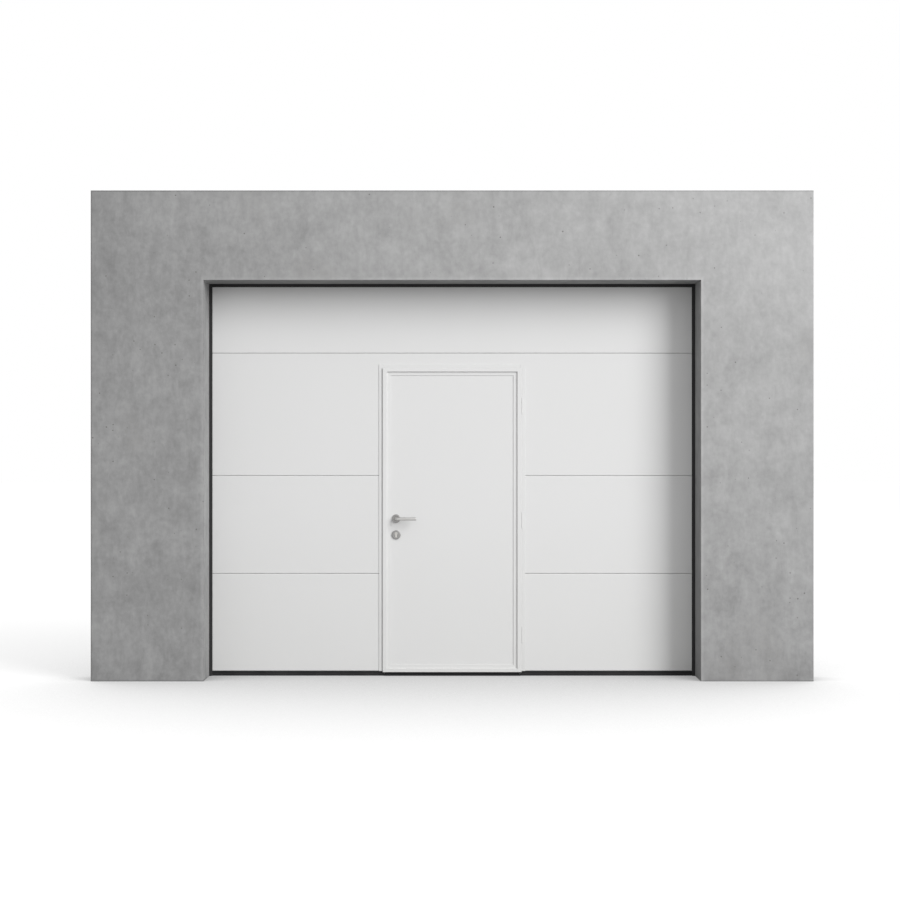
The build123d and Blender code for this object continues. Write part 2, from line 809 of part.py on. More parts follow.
hanger_x = track_outer_x - hanger_width
hanger_y = track_end_y - cross_bar_depth
with BuildPart() as hangers:
    for _, side in sides:
        block(
            span(side, hanger_x, hanger_x + hanger_width),
            (hanger_y - hanger_thickness, hanger_y),
            (track_top, wall_top),
        )
        block(
            span(side, hanger_x + hanger_width / 2 - hanger_foot_length / 2,
                 hanger_x + hanger_width / 2 + hanger_foot_length / 2),
            (hanger_y - hanger_width, hanger_y),
            (wall_top - hanger_thickness, wall_top),
        )
        foot_middle = side * (hanger_x + hanger_width / 2)
        for offset_x in (-hanger_hole_spacing / 2, hanger_hole_spacing / 2):
            with Locations((foot_middle + offset_x, hanger_y - hanger_width / 2, wall_top)):
                Cylinder(hanger_hole_radius, 4 * hanger_thickness, mode=Mode.SUBTRACT)
save(hangers, "ceiling_hangers")

# Bottom brackets: plates on the ends of the bottom sections, each with a pin for its cable
with BuildPart() as bottom_brackets:
    ear_top = pin_height + bottom_bracket_margin
    ear_rear = roller_y - axle_radius - seat
    pin_far = cable_x + cable_radius + cable_eye_wall
    for _, side in sides:
        ear = span(side, half_section, half_section + bracket_plate)
        block(ear, (section_front + joint_radius, ear_rear), (section_bottom, ear_top))
        pin_middle = side * (half_section + pin_far) / 2
        with Locations(Location((pin_middle, cable_y, pin_height), (0, 90, 0))):
            Cylinder(cable_pin_radius, pin_far - half_section)
save(bottom_brackets, "bottom_brackets")
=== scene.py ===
# %% [markdown]
# # A sectional garage door in a concrete portal
#
# The door is a stack of white insulated steel sections behind a concrete portal wall, with a
# wicket door let into them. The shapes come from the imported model, and this script dresses them.
# Everything is in metres in the model's own frame: +X right, +Y into the garage, +Z up, with
# the origin in the middle of the opening at floor level.

# %% Load the frame
import json
import math

import bmesh
import bpy
from mathutils import Matrix, Vector


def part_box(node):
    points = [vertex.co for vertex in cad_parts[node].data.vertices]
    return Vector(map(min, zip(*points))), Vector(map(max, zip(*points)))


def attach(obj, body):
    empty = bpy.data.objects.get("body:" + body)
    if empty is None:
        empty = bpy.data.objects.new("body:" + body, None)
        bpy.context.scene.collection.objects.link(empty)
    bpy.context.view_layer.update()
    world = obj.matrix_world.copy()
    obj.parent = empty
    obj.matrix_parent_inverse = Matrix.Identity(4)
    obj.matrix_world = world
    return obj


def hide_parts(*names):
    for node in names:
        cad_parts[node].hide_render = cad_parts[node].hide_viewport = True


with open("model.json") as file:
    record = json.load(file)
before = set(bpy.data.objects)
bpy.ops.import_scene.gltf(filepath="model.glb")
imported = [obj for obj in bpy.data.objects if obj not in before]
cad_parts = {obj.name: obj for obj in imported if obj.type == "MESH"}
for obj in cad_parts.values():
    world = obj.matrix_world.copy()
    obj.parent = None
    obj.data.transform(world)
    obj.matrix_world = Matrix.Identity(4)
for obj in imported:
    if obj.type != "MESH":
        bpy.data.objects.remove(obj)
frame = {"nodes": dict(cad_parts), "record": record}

scene = bpy.context.scene
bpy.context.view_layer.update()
nodes = frame["nodes"]
MM = 0.001
ROOT, LEAF, LEVER = "portal_and_door", "wicket_leaf", "lever"

# %% [markdown]
# ## Camera
#
# The photograph looks straight at the wall, so its upright lines stay parallel. Two widths give
# the lens: the opening measures 497.6 pixels across at the wall's face, and 486 pixels at its
# back, 240 mm further away. The middle of the picture gives the camera's height.

# %% Place the camera
PICTURE = 900
OPENING_FRONT_PX, OPENING_BACK_PX = 497.6, 486.0
FLOOR_FRONT_PX, MIDDLE_FRONT_PX = 681.4, 452.2
SENSOR_MM = 36.0

pier_lo, pier_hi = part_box("right_pier")
opening_half = pier_lo.x
opening_top, wall_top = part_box("lintel")[0].z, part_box("lintel")[1].z
wall_front, wall_back = pier_lo.y, pier_hi.y

wall_depth = wall_back - wall_front
focal_px = wall_depth / (2 * opening_half) / (1 / OPENING_BACK_PX - 1 / OPENING_FRONT_PX)
metres_per_px = 2 * opening_half / OPENING_FRONT_PX

camera_data = bpy.data.cameras.new("photo_camera")
camera_data.sensor_width = SENSOR_MM
camera_data.lens = focal_px / PICTURE * SENSOR_MM
camera = bpy.data.objects.new("photo_camera", camera_data)
camera.location = (
    (PICTURE / 2 - MIDDLE_FRONT_PX) * metres_per_px,
    wall_front - focal_px * metres_per_px,
    (FLOOR_FRONT_PX - PICTURE / 2) * metres_per_px,
)
camera.rotation_euler = (math.radians(90), 0, 0)
scene.collection.objects.link(camera)
scene.camera = camera
print("camera", [round(v, 3) for v in camera.location], "lens", round(camera_data.lens, 1))

# %% [markdown]
# ## Helpers for materials
#
# Colours are written as sRGB hex values, as a paint chart gives them, and one function turns
# them to the linear values that shaders use. Another gives a node's sockets their values and
# links, and a third adds any node, so that each material below reads from top to bottom. Most
# finishes lie between two tones and two degrees of gloss, which the last helper sets. Sockets
# are named, or counted where a node has several of one name: a colour Mix has 0 for its factor,
# 6 and 7 for its two colours, and 2 for its result.


# %% Helpers
def linear(hex_colour):
    """Linear RGBA from an sRGB hex value such as '#A9A9A8'."""
    channels = [int(hex_colour[i:i + 2], 16) / 255 for i in (1, 3, 5)]
    return (*[c / 12.92 if c <= 0.04045 else ((c + 0.055) / 1.055) ** 2.4 for c in channels], 1.0)


def set_sockets(tree, node, sockets):
    """Give each socket its value, or a link where the value is another node's output."""
    for key, value in sockets.items():
        if isinstance(value, bpy.types.NodeSocket):
            tree.links.new(value, node.inputs[key])
        else:
            node.inputs[key].default_value = value


def add_node(tree, kind, settings, sockets):
    """Add a node: settings are its attributes, and sockets are set as above."""
    node = tree.nodes.new(kind)
    for name, value in settings.items():
        setattr(node, name, value)
    set_sockets(tree, node, sockets)
    return node


materials = {}


def new_material(slot_name, name):
    """A material for one slot: returns its tree, its shader and its object coordinates."""
    material = bpy.data.materials.new(name)
    material.use_nodes = True
    materials[slot_name] = material
    tree = material.node_tree
    place = add_node(tree, "ShaderNodeTexCoord", {}, {}).outputs["Object"]
    return tree, tree.nodes["Principled BSDF"], place


def two_tones(tree, shader, colours, tone_by, gloss, sheen_by, span=(0.3, 0.7)):
    """Set a shader's colour between two tones, and its roughness between two values.

    Each follows its own pattern, and the span is what the second pattern mostly keeps to.
    """
    tone = add_node(
        tree, "ShaderNodeMix", {"data_type": "RGBA"},
        {0: tone_by, 6: linear(colours[0]), 7: linear(colours[1])},
    ).outputs[2]
    sheen = add_node(
        tree, "ShaderNodeMapRange", {},
        {"Value": sheen_by, "From Min": span[0], "From Max": span[1],
         "To Min": gloss[0], "To Max": gloss[1]},
    ).outputs[0]
    set_sockets(tree, shader, {"Base Color": tone, "Roughness": sheen})


print("helpers ready")

# %% [markdown]
# ## Concrete
#
# The portal is fair-faced concrete, cast against smooth boards. It reads as concrete through
# four scales: a slow drift in tone, which is painted light, paler to the right and towards the
# top where the lamp falls; clouds from the pour; soft upright runs where water went down the
# boards; and blowholes of a few millimetres where air was caught, painted dark as the shade in
# the pits. Its arris round the opening is rubbed pale, and it is darker towards the bottom and
# along its top edge. Painted shade lies along its left outer edge and side and along its foot at
# the floor, and the soffit and the right reveal, which the lamp doesn't reach, get dark painted
# shade, the left reveal a little. Image textures would do this too, but noise in object
# coordinates has no seams at the corners. Cement is a rough dielectric, so only its colour and
# its bump change.

# %% Concrete: the tone
# The two greys that the tone runs between: it carries painted light and painted shade as well as
# the concrete's own clouds.
PALE_TONE_AND_LIGHT, DARK_TONE_AND_SHADE = "#C4C4C4", "#7E7E7E"
STREAKS_ACROSS, STREAKS_UP = 15, 5.5      # runs of about 70 mm by 180 mm
LOW_BAND_HEIGHT, LOW_BAND_DARK = 0.30, -0.08
# Painted light: these gains make the tone paler upwards and to the right, towards the lamp.
LEVEL, PAINTED_LIGHT_UP, PAINTED_LIGHT_RIGHT, PAINTED_LIGHT_RIGHT_WITH_HEIGHT = -0.575, 0.062, 0.019, 0.032

tree, shader, place = new_material("concrete", "fair_faced_concrete")
axis = add_node(tree, "ShaderNodeSeparateXYZ", {}, {0: place}).outputs
upright = add_node(
    tree, "ShaderNodeMapping", {},
    {"Vector": place, "Scale": (STREAKS_ACROSS, STREAKS_ACROSS, STREAKS_UP)},
).outputs[0]

# Painted light: the wall is painted paler to the right and towards its top, where the lamp falls: a
# slope in X that grows with height.
painted_light_slope = add_node(
    tree, "ShaderNodeMath", {"operation": "MULTIPLY_ADD"},
    {0: axis["Z"], 1: PAINTED_LIGHT_RIGHT_WITH_HEIGHT, 2: PAINTED_LIGHT_RIGHT},
).outputs[0]
tone = LEVEL
for across, gain in (("X", painted_light_slope), ("Z", PAINTED_LIGHT_UP)):
    tone = add_node(
        tree, "ShaderNodeMath", {"operation": "MULTIPLY_ADD"}, {0: axis[across], 1: gain, 2: tone}
    ).outputs[0]

# Clouds of 430 mm, patches of 130 mm, the upright streaks, and a mottle of 30 mm.
for source, scale, detail, roughness, distortion, amount in (
    (place, 2.3, 6.0, 0.62, 0.3, 0.40), (place, 7.5, 6.0, 0.65, 0.2, 0.48),
    (upright, 1.0, 6.0, 0.70, 0.5, 0.47), (place, 32.0, 4.0, 0.50, 0.0, 0.32),
):
    noise = add_node(
        tree, "ShaderNodeTexNoise", {},
        {"Vector": source, "Scale": scale, "Detail": detail, "Roughness": roughness,
         "Distortion": distortion},
    ).outputs["Fac"]
    tone = add_node(
        tree, "ShaderNodeMath", {"operation": "MULTIPLY_ADD"}, {0: noise, 1: amount, 2: tone}
    ).outputs[0]
mottle = noise

# The wall is darker towards the bottom, fading out 0.3 m up.
darker_low = add_node(
    tree, "ShaderNodeMapRange", {"interpolation_type": "SMOOTHSTEP"},
    {"Value": axis["Z"], "From Min": 0.0, "From Max": LOW_BAND_HEIGHT,
     "To Min": LOW_BAND_DARK, "To Max": 0.0},
).outputs[0]
tone = add_node(tree, "ShaderNodeMath", {"operation": "ADD"}, {0: tone, 1: darker_low}).outputs[0]
print("concrete tone from", DARK_TONE_AND_SHADE, "to", PALE_TONE_AND_LIGHT)

# %% Concrete: the worn arris, the darkened outer edges and the painted shade in the reveals
ARRIS_WIDTH, ARRIS_PALE = 0.022, 0.16
# Painted shade on the left edge and side, away from the lamp, and at the foot; the top edge is
# darker too.
DARKENED_EDGE, EDGE_DARKENING = 0.011, -0.34
LIT_REVEAL_SHADE, UNLIT_REVEAL_SHADE = -0.14, -0.53

from_middle = add_node(tree, "ShaderNodeMath", {"operation": "ABSOLUTE"}, {0: axis["X"]}).outputs[0]
beside = add_node(
    tree, "ShaderNodeMath", {"operation": "SUBTRACT"}, {0: from_middle, 1: opening_half}
).outputs[0]
above = add_node(
    tree, "ShaderNodeMath", {"operation": "SUBTRACT"}, {0: axis["Z"], 1: opening_top}
).outputs[0]
edge = add_node(tree, "ShaderNodeMath", {"operation": "MAXIMUM"}, {0: beside, 1: above}).outputs[0]
worn = add_node(
    tree, "ShaderNodeMapRange", {},
    {"Value": edge, "From Min": 4 * MM, "From Max": ARRIS_WIDTH,
     "To Min": ARRIS_PALE, "To Max": 0.0},
).outputs[0]
tone = add_node(tree, "ShaderNodeMath", {"operation": "ADD"}, {0: tone, 1: worn}).outputs[0]
# Painted shade along the left outer edge and side and at the foot by the floor; the top edge and
# top face are darkened too.
for across, rim, clear in (
    ("X", -pier_hi.x, DARKENED_EDGE - pier_hi.x), ("Z", wall_top, wall_top - DARKENED_EDGE),
    ("Z", 0.0, DARKENED_EDGE),
):
    darkened = add_node(
        tree, "ShaderNodeMapRange", {},
        {"Value": axis[across], "From Min": rim, "From Max": clear,
         "To Min": EDGE_DARKENING, "To Max": 0.0},
    ).outputs[0]
    tone = add_node(tree, "ShaderNodeMath", {"operation": "ADD"}, {0: tone, 1: darkened}).outputs[0]
# Painted shade: the soffit and the right reveal, which the lamp doesn't reach, are painted much
# darker, and the left reveal, in the lamp, a little.
in_reveal = add_node(
    tree, "ShaderNodeMath", {"operation": "LESS_THAN"}, {0: edge, 1: 2 * MM}
).outputs[0]
painted_reveal_shade = add_node(
    tree, "ShaderNodeMapRange", {},
    {"Value": axis["X"], "From Min": -opening_half, "From Max": 0.1 - opening_half,
     "To Min": LIT_REVEAL_SHADE, "To Max": UNLIT_REVEAL_SHADE},
).outputs[0]
tone_with_painted_shade = add_node(
    tree, "ShaderNodeMath", {"operation": "MULTIPLY_ADD"}, {0: in_reveal, 1: painted_reveal_shade, 2: tone}
).outputs[0]
grey = add_node(
    tree, "ShaderNodeMix", {"data_type": "RGBA"},
    {0: tone_with_painted_shade, 6: linear(DARK_TONE_AND_SHADE), 7: linear(PALE_TONE_AND_LIGHT)},
).outputs[2]
print("soiled for", DARKENED_EDGE / MM, "mm at the outer edges")

# %% Concrete: the stains and the blowholes
BLOWHOLE_CELLS, BLOWHOLE_REACH = 24.0, 0.15     # a chance each 40 mm, at most 6 mm in radius
stain_noise = add_node(
    tree, "ShaderNodeTexNoise", {}, {"Vector": place, "Scale": 1.7, "Detail": 2.0}
).outputs["Fac"]
stain = add_node(
    tree, "ShaderNodeMapRange", {},
    {"Value": stain_noise, "From Min": 0.60, "From Max": 0.74, "To Min": 0.0, "To Max": 0.45},
).outputs[0]
rusty = add_node(
    tree, "ShaderNodeMix", {"data_type": "RGBA"}, {0: stain, 6: grey, 7: linear("#949392")}
).outputs[2]

cells = add_node(
    tree, "ShaderNodeTexVoronoi", {}, {"Vector": place, "Scale": BLOWHOLE_CELLS}
).outputs
chance = add_node(tree, "ShaderNodeSeparateColor", {}, {0: cells["Color"]}).outputs[0]
hole_size = add_node(
    tree, "ShaderNodeMapRange", {},
    {"Value": chance, "From Min": 0.55, "From Max": 1.0, "To Min": 0.0, "To Max": BLOWHOLE_REACH},
).outputs[0]
hole_core = add_node(
    tree, "ShaderNodeMath", {"operation": "MULTIPLY"}, {0: hole_size, 1: 0.55}
).outputs[0]
hole = add_node(
    tree, "ShaderNodeMapRange", {},
    {"Value": cells["Distance"], "From Min": hole_core, "From Max": hole_size,
     "To Min": 0.7, "To Max": 0.0},
).outputs[0]
# Painted shade: each blowhole is painted dark, as the shade inside the pit, and the relief below
# presses it in.
pitted = add_node(
    tree, "ShaderNodeMix", {"data_type": "RGBA"}, {0: hole, 6: rusty, 7: linear("#5C5B58")}
).outputs[2]
print("one chance of a blowhole in each", round(1000 / BLOWHOLE_CELLS), "mm")

# %% Concrete: roughness and relief
grain = add_node(
    tree, "ShaderNodeTexNoise", {}, {"Vector": place, "Scale": 420.0, "Detail": 2.0}
).outputs["Fac"]
rough = add_node(
    tree, "ShaderNodeMapRange", {},
    {"Value": mottle, "From Min": 0.3, "From Max": 0.7, "To Min": 0.78, "To Max": 0.95},
).outputs[0]
relief = add_node(
    tree, "ShaderNodeMath", {"operation": "MULTIPLY_ADD"}, {0: grain, 1: 0.25, 2: mottle}
).outputs[0]
relief = add_node(
    tree, "ShaderNodeMath", {"operation": "SUBTRACT"}, {0: relief, 1: hole}
).outputs[0]
surface = add_node(
    tree, "ShaderNodeBump", {}, {"Height": relief, "Distance": 1.2 * MM, "Strength": 0.7}
).outputs[0]
set_sockets(tree, shader, {"Base Color": pitted, "Roughness": rough, "Normal": surface})
print("concrete", len(tree.nodes), "nodes")

# %% [markdown]
# ## White coats
#
# The sections are steel skins, coil-coated in traffic white before they are rolled, so they have
# the soft sheen of a polyester coat. The outer skin is smooth. The inner one is rolled with a
# stucco of shallow dimples, which stiffens it, so the bump is turned on by the side that a point
# is on. The wicket's aluminium profiles and its hinges are powder coated instead. The powder
# melts to a skin with a fine orange peel, bumps of about a millimetre, which a coil coat hasn't.
# Both coats grey faintly near the floor, so one function gives them their colour and sheen.


# %% What the white coats share
LOW_GREY_TOP = 1.3                            # the height in metres where the greying ends


def white_coat(slot_name, name, colours, haze_scale, haze_detail, grey_amounts, gloss):
    """A white that greys with haze and near the floor.

    Returns its tree, its shader, its object coordinates and their three axes.
    """
    tree, shader, place = new_material(slot_name, name)
    axis = add_node(tree, "ShaderNodeSeparateXYZ", {}, {0: place}).outputs
    haze = add_node(
        tree, "ShaderNodeTexNoise", {},
        {"Vector": place, "Scale": haze_scale, "Detail": haze_detail},
    ).outputs["Fac"]
    low_grey, haze_grey = grey_amounts
    # The coat is darker towards the floor, fading out 1.3 m up, and greys where the haze is.
    low = add_node(
        tree, "ShaderNodeMapRange", {"interpolation_type": "SMOOTHSTEP"},
        {"Value": axis["Z"], "From Min": 0.0, "From Max": LOW_GREY_TOP,
         "To Min": low_grey, "To Max": 0.0},
    ).outputs[0]
    grey = add_node(
        tree, "ShaderNodeMath", {"operation": "MULTIPLY_ADD"}, {0: haze, 1: haze_grey, 2: low}
    ).outputs[0]
    two_tones(tree, shader, colours, grey, gloss, haze)
    return tree, shader, place, axis


# %% Coil-coated steel
STUCCO = (95, 95, 240)                    # dimples of about 10 mm by 4 mm
INNER_SIDE = 15 * MM                      # behind this depth a point is on the inner skin
tree, shader, place, axis = white_coat(
    "door_white", "coil_coated_steel", ("#DFDFDF", "#D1D1CF"), 1.6, 4.0, (0.27, 0.22), (0.42, 0.52)
)
inside = add_node(
    tree, "ShaderNodeMath", {"operation": "GREATER_THAN"}, {0: axis["Y"], 1: INNER_SIDE}
).outputs[0]
stretched = add_node(
    tree, "ShaderNodeMapping", {}, {"Vector": place, "Scale": STUCCO}
).outputs[0]
dimples = add_node(
    tree, "ShaderNodeTexVoronoi", {"feature": "SMOOTH_F1"}, {"Vector": stretched, "Scale": 1.0}
).outputs["Distance"]
stucco = add_node(
    tree, "ShaderNodeMath", {"operation": "MULTIPLY"}, {0: dimples, 1: inside}
).outputs[0]
surface = add_node(
    tree, "ShaderNodeBump", {}, {"Height": stucco, "Distance": 0.9 * MM, "Strength": 0.8}
).outputs[0]
set_sockets(tree, shader, {"Normal": surface})
print("coil-coated steel", len(tree.nodes), "nodes")

# %% Powder-coated aluminium
for slot_name, name, colours in (
    ("frame_white", "powder_coated_aluminium", ("#E1E1E1", "#D0D0CE")),
    ("hinge_dark", "powder_coated_hinges", ("#E0E0E0", "#CECECC")),
):
    tree, shader, place, axis = white_coat(
        slot_name, name, colours, 3.0, 3.0, (0.34, 0.30), (0.36, 0.46)
    )
    peel = add_node(
        tree, "ShaderNodeTexNoise", {}, {"Vector": place, "Scale": 700.0, "Detail": 1.0}
    ).outputs["Fac"]
    surface = add_node(
        tree, "ShaderNodeBump", {}, {"Height": peel, "Distance": 0.05 * MM, "Strength": 0.6}
    ).outputs[0]
    set_sockets(tree, shader, {"Normal": surface})
print("powder coats ready")

# %% [markdown]
# ## Rubber seals
#
# The seals are EPDM rubber: matt black, with fine pores, and with a grey bloom where dust sits
# on them. The pores make them mirror less than plastic does.

# %% EPDM rubber
tree, shader, place = new_material("seal_black", "epdm_rubber")
bloom = add_node(
    tree, "ShaderNodeTexNoise", {}, {"Vector": place, "Scale": 9.0, "Detail": 5.0}
).outputs["Fac"]
dusty = add_node(
    tree, "ShaderNodeMapRange", {},
    {"Value": bloom, "From Min": 0.4, "From Max": 0.75, "To Min": 0.0, "To Max": 0.5},
).outputs[0]
two_tones(tree, shader, ("#1B1B1C", "#3D3D3D"), dusty, (0.62, 0.85), bloom)
pores = add_node(
    tree, "ShaderNodeTexNoise", {}, {"Vector": place, "Scale": 600.0, "Detail": 2.0}
).outputs["Fac"]
surface = add_node(
    tree, "ShaderNodeBump", {}, {"Height": pores, "Distance": 0.15 * MM, "Strength": 0.6}
).outputs[0]
set_sockets(tree, shader, {"Normal": surface, "Specular IOR Level": 0.3})
print("rubber ready")

# %% [markdown]
# ## Zinc
#
# Tracks, angles and brackets are galvanised strip. Zinc freezes in spangles, flat crystals
# about 8 mm wide that each mirror the room a little differently. A Voronoi cell gives each
# crystal a tone and a roughness of its own.

# %% Galvanised steel
SPANGLE = 120.0                           # cells for each metre: crystals of about 8 mm
tree, shader, place = new_material("galvanised", "hot_dip_galvanised_steel")
crystal = add_node(
    tree, "ShaderNodeTexVoronoi", {}, {"Vector": place, "Scale": SPANGLE}
).outputs["Color"]
weather = add_node(
    tree, "ShaderNodeTexNoise", {}, {"Vector": place, "Scale": 4.0, "Detail": 5.0}
).outputs["Fac"]
zinc = add_node(
    tree, "ShaderNodeMix", {"data_type": "RGBA"},
    {0: crystal, 6: linear("#9DA1A4"), 7: linear("#BFC3C5")},
).outputs[2]
white_rust = add_node(
    tree, "ShaderNodeMapRange", {},
    {"Value": weather, "From Min": 0.52, "From Max": 0.8, "To Min": 0.0, "To Max": 0.6},
).outputs[0]
zinc = add_node(
    tree, "ShaderNodeMix", {"data_type": "RGBA"}, {0: white_rust, 6: zinc, 7: linear("#B9BAB8")}
).outputs[2]
sheen = add_node(
    tree, "ShaderNodeMapRange", {},
    {"Value": crystal, "From Min": 0.0, "From Max": 1.0, "To Min": 0.36, "To Max": 0.56},
).outputs[0]
set_sockets(tree, shader, {"Base Color": zinc, "Roughness": sheen, "Metallic": 1.0})
print("zinc ready")

# %% [markdown]
# ## Brushed stainless steel, nickel and cast metal
#
# The lever is stainless steel, brushed along its length with a fine belt, and its roses are
# satin, a shade darker. The lock cylinder is nickel-plated brass, a touch warmer and smoother.
# The cable drums are die-cast aluminium, with the fine grain of the mould, and the threshold is
# dark anodised aluminium, drawn along its length. Marks of real width, 0.1 mm, would not show,
# so they are drawn at 0.7 to 2.5 mm.

# %% Fine metals
for slot_name, name, dark, light, lines, finest, coarsest in (
    ("stainless", "brushed_stainless_steel", "#B7B6B4", "#CDCCCA", (60, 1500, 1500), 0.24, 0.38),
    ("rose_steel", "satin_stainless_steel", "#858483", "#A3A2A1", (900, 900, 900), 0.30, 0.44),
    ("cylinder_nickel", "nickel_plated_brass", "#BBB9B4", "#D2D0CC", (400, 400, 400), 0.18, 0.30),
    ("drum_alloy", "die_cast_aluminium", "#8F9193", "#B0B2B4", (900, 900, 900), 0.42, 0.60),
    ("threshold_dark", "dark_anodised_aluminium", "#38383A", "#4A4A4C", (20, 900, 900), 0.32, 0.45),
):
    tree, shader, place = new_material(slot_name, name)
    drawn = add_node(
        tree, "ShaderNodeMapping", {}, {"Vector": place, "Scale": lines}
    ).outputs[0]
    marks = add_node(
        tree, "ShaderNodeTexNoise", {}, {"Vector": drawn, "Scale": 1.0, "Detail": 3.0}
    ).outputs["Fac"]
    two_tones(tree, shader, (dark, light), marks, (finest, coarsest), marks)
    surface = add_node(
        tree, "ShaderNodeBump", {}, {"Height": marks, "Distance": 0.03 * MM, "Strength": 0.5}
    ).outputs[0]
    set_sockets(tree, shader, {"Normal": surface, "Metallic": 1.0})
print("fine metals ready")

# %% [markdown]
# ## Spring steel, wire rope and nylon
#
# The torsion springs are oil-tempered wire, almost black, with a wet film of oil. The lift
# cables are zinc-coated wire rope: six strands wind round a core, so a wave that turns with the
# height makes their lay. The rollers are moulded nylon.

# %% Oil-tempered spring steel and moulded nylon
for slot_name, name, colours, scale, gloss, span, metallic in (
    ("spring_steel", "oil_tempered_spring_steel", ("#38383A", "#5C5A57"), 30.0, (0.25, 0.50),
     (0.35, 0.65), 1.0),
    ("roller_nylon", "moulded_nylon", ("#E3E1D8", "#CFCDC3"), 60.0, (0.35, 0.55), (0.3, 0.7), 0.0),
):
    tree, shader, place = new_material(slot_name, name)
    wear = add_node(
        tree, "ShaderNodeTexNoise", {}, {"Vector": place, "Scale": scale, "Detail": 4.0}
    ).outputs["Fac"]
    two_tones(tree, shader, colours, wear, gloss, wear, span)
    set_sockets(tree, shader, {"Metallic": metallic})
print("spring steel and nylon ready")

# %% Wire rope, hanging and wound on a drum
ROPE_LAY = 0.028                          # one turn of the strands for each 28 mm
STRANDS, ROPE_RADIUS = 6, 2 * MM
DRUM_RIM = 5 * MM                         # how far the drum stands out past the rope's middle
rope_lo, rope_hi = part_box("lift_cables")
rope_x = rope_hi.x - ROPE_RADIUS
rope_y = (rope_lo.y + rope_hi.y) / 2
shaft_lo, shaft_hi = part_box("torsion_shaft")
shaft_middle = (shaft_lo + shaft_hi) / 2
drum_lo, drum_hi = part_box("cable_drums")
wound_radius = (drum_hi.z - drum_lo.z) / 2 - DRUM_RIM

for slot_name, name, centre, wound in (
    ("cable_steel", "zinc_coated_wire_rope", (rope_x, rope_y, 0), False),
    ("wound_rope", "zinc_coated_rope_on_drum", (0, shaft_middle.y, shaft_middle.z), True),
):
    tree, shader, place = new_material(slot_name, name)
    right_half = add_node(
        tree, "ShaderNodeVectorMath", {"operation": "ABSOLUTE"}, {0: place}
    ).outputs[0]
    centred = add_node(
        tree, "ShaderNodeVectorMath", {"operation": "SUBTRACT"}, {0: right_half, 1: centre}
    ).outputs[0]
    axis = add_node(tree, "ShaderNodeSeparateXYZ", {}, {0: centred}).outputs
    round_axis = add_node(
        tree, "ShaderNodeMath", {"operation": "ARCTAN2"},
        {0: axis["Y"], 1: axis["Z" if wound else "X"]},
    ).outputs[0]
    along, along_gain, turn, turn_gain = (
        (round_axis, wound_radius, axis["X"], math.pi / (2 * ROPE_RADIUS)) if wound
        else (axis["Z"], 1.0, round_axis, 1.0)
    )
    laid = add_node(
        tree, "ShaderNodeMath", {"operation": "MULTIPLY"},
        {0: along, 1: STRANDS * along_gain * 2 * math.pi / ROPE_LAY},
    ).outputs[0]
    phase = add_node(
        tree, "ShaderNodeMath", {"operation": "MULTIPLY_ADD"},
        {0: turn, 1: STRANDS * turn_gain, 2: laid},
    ).outputs[0]
    crown = add_node(tree, "ShaderNodeMath", {"operation": "SINE"}, {0: phase}).outputs[0]
    groove = add_node(
        tree, "ShaderNodeMapRange", {},
        {"Value": crown, "From Min": -1.0, "From Max": 0.2, "To Min": 0.0, "To Max": 1.0},
    ).outputs[0]
    # Painted shade: the grooves between the strands are painted dark and the crowns pale, and the
    # bump gives them relief.
    wire = add_node(
        tree, "ShaderNodeMix", {"data_type": "RGBA"},
        {0: groove, 6: linear("#4B4D4F"), 7: linear("#A9ADB0")},
    ).outputs[2]
    surface = add_node(
        tree, "ShaderNodeBump", {}, {"Height": groove, "Distance": 0.6 * MM, "Strength": 1.0}
    ).outputs[0]
    set_sockets(
        tree, shader, {"Base Color": wire, "Roughness": 0.42, "Metallic": 1.0, "Normal": surface}
    )
print("rope of", STRANDS, "strands, wound at a radius of", round(wound_radius / MM), "mm")
print("materials", sorted(m.name for m in materials.values()))

# %% [markdown]
# ## Dress the model's nodes
#
# Each node of the model names the slot that its finish comes from, so one loop puts every
# material in its place. Nodes that a finer piece replaces further down keep theirs, unseen.

# %% Give each node its material
for entry in frame["record"]["subparts"]:
    piece = nodes[entry["node"]]
    piece.data.materials.clear()
    piece.data.materials.append(materials[entry["material_slot"]])


# %% [markdown]
# ## Helpers for new pieces
#
# A new piece is a mesh whose points already stand where they belong, with its object at the
# origin, as the model's own nodes do. A Geometry Nodes tree works on a small seed mesh, and its
# result is turned to plain mesh before the piece is handed to its body.


# %% Make a piece
def add_piece(name, mesh, slot_name, body, replaced=(), finish=None):
    """Link a finished mesh as a piece that rides on a body, and may stand for the model's nodes.

    A finish names the material where it is another than the slot's own.
    """
    piece = bpy.data.objects.new(name, mesh)
    scene.collection.objects.link(piece)
    if not mesh.materials:
        mesh.materials.append(materials[finish or slot_name])
    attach(piece, body)
    if replaced:
        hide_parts(*replaced)
    print(name, len(mesh.polygons), "faces")
    return piece


def new_tree(name, sizes):
    """A Geometry Nodes tree with a mesh in and out, a material, and an input for each size."""
    tree = bpy.data.node_groups.new(name, "GeometryNodeTree")
    tree.interface.new_socket("Geometry", in_out="INPUT", socket_type="NodeSocketGeometry")
    tree.interface.new_socket("Geometry", in_out="OUTPUT", socket_type="NodeSocketGeometry")
    for size_name, kind in sizes.items():
        tree.interface.new_socket(size_name, in_out="INPUT", socket_type=kind)
    tree.interface.new_socket("Material", in_out="INPUT", socket_type="NodeSocketMaterial")
    return tree, tree.nodes.new("NodeGroupInput"), tree.nodes.new("NodeGroupOutput")


def end_tree(tree, shape, given, result):
    """End a tree in real geometry that has the given material."""
    real = add_node(tree, "GeometryNodeRealizeInstances", {}, {0: shape})
    painted = add_node(
        tree, "GeometryNodeSetMaterial", {},
        {"Geometry": real.outputs[0], "Material": given.outputs["Material"]},
    )
    tree.links.new(painted.outputs[0], result.inputs[0])


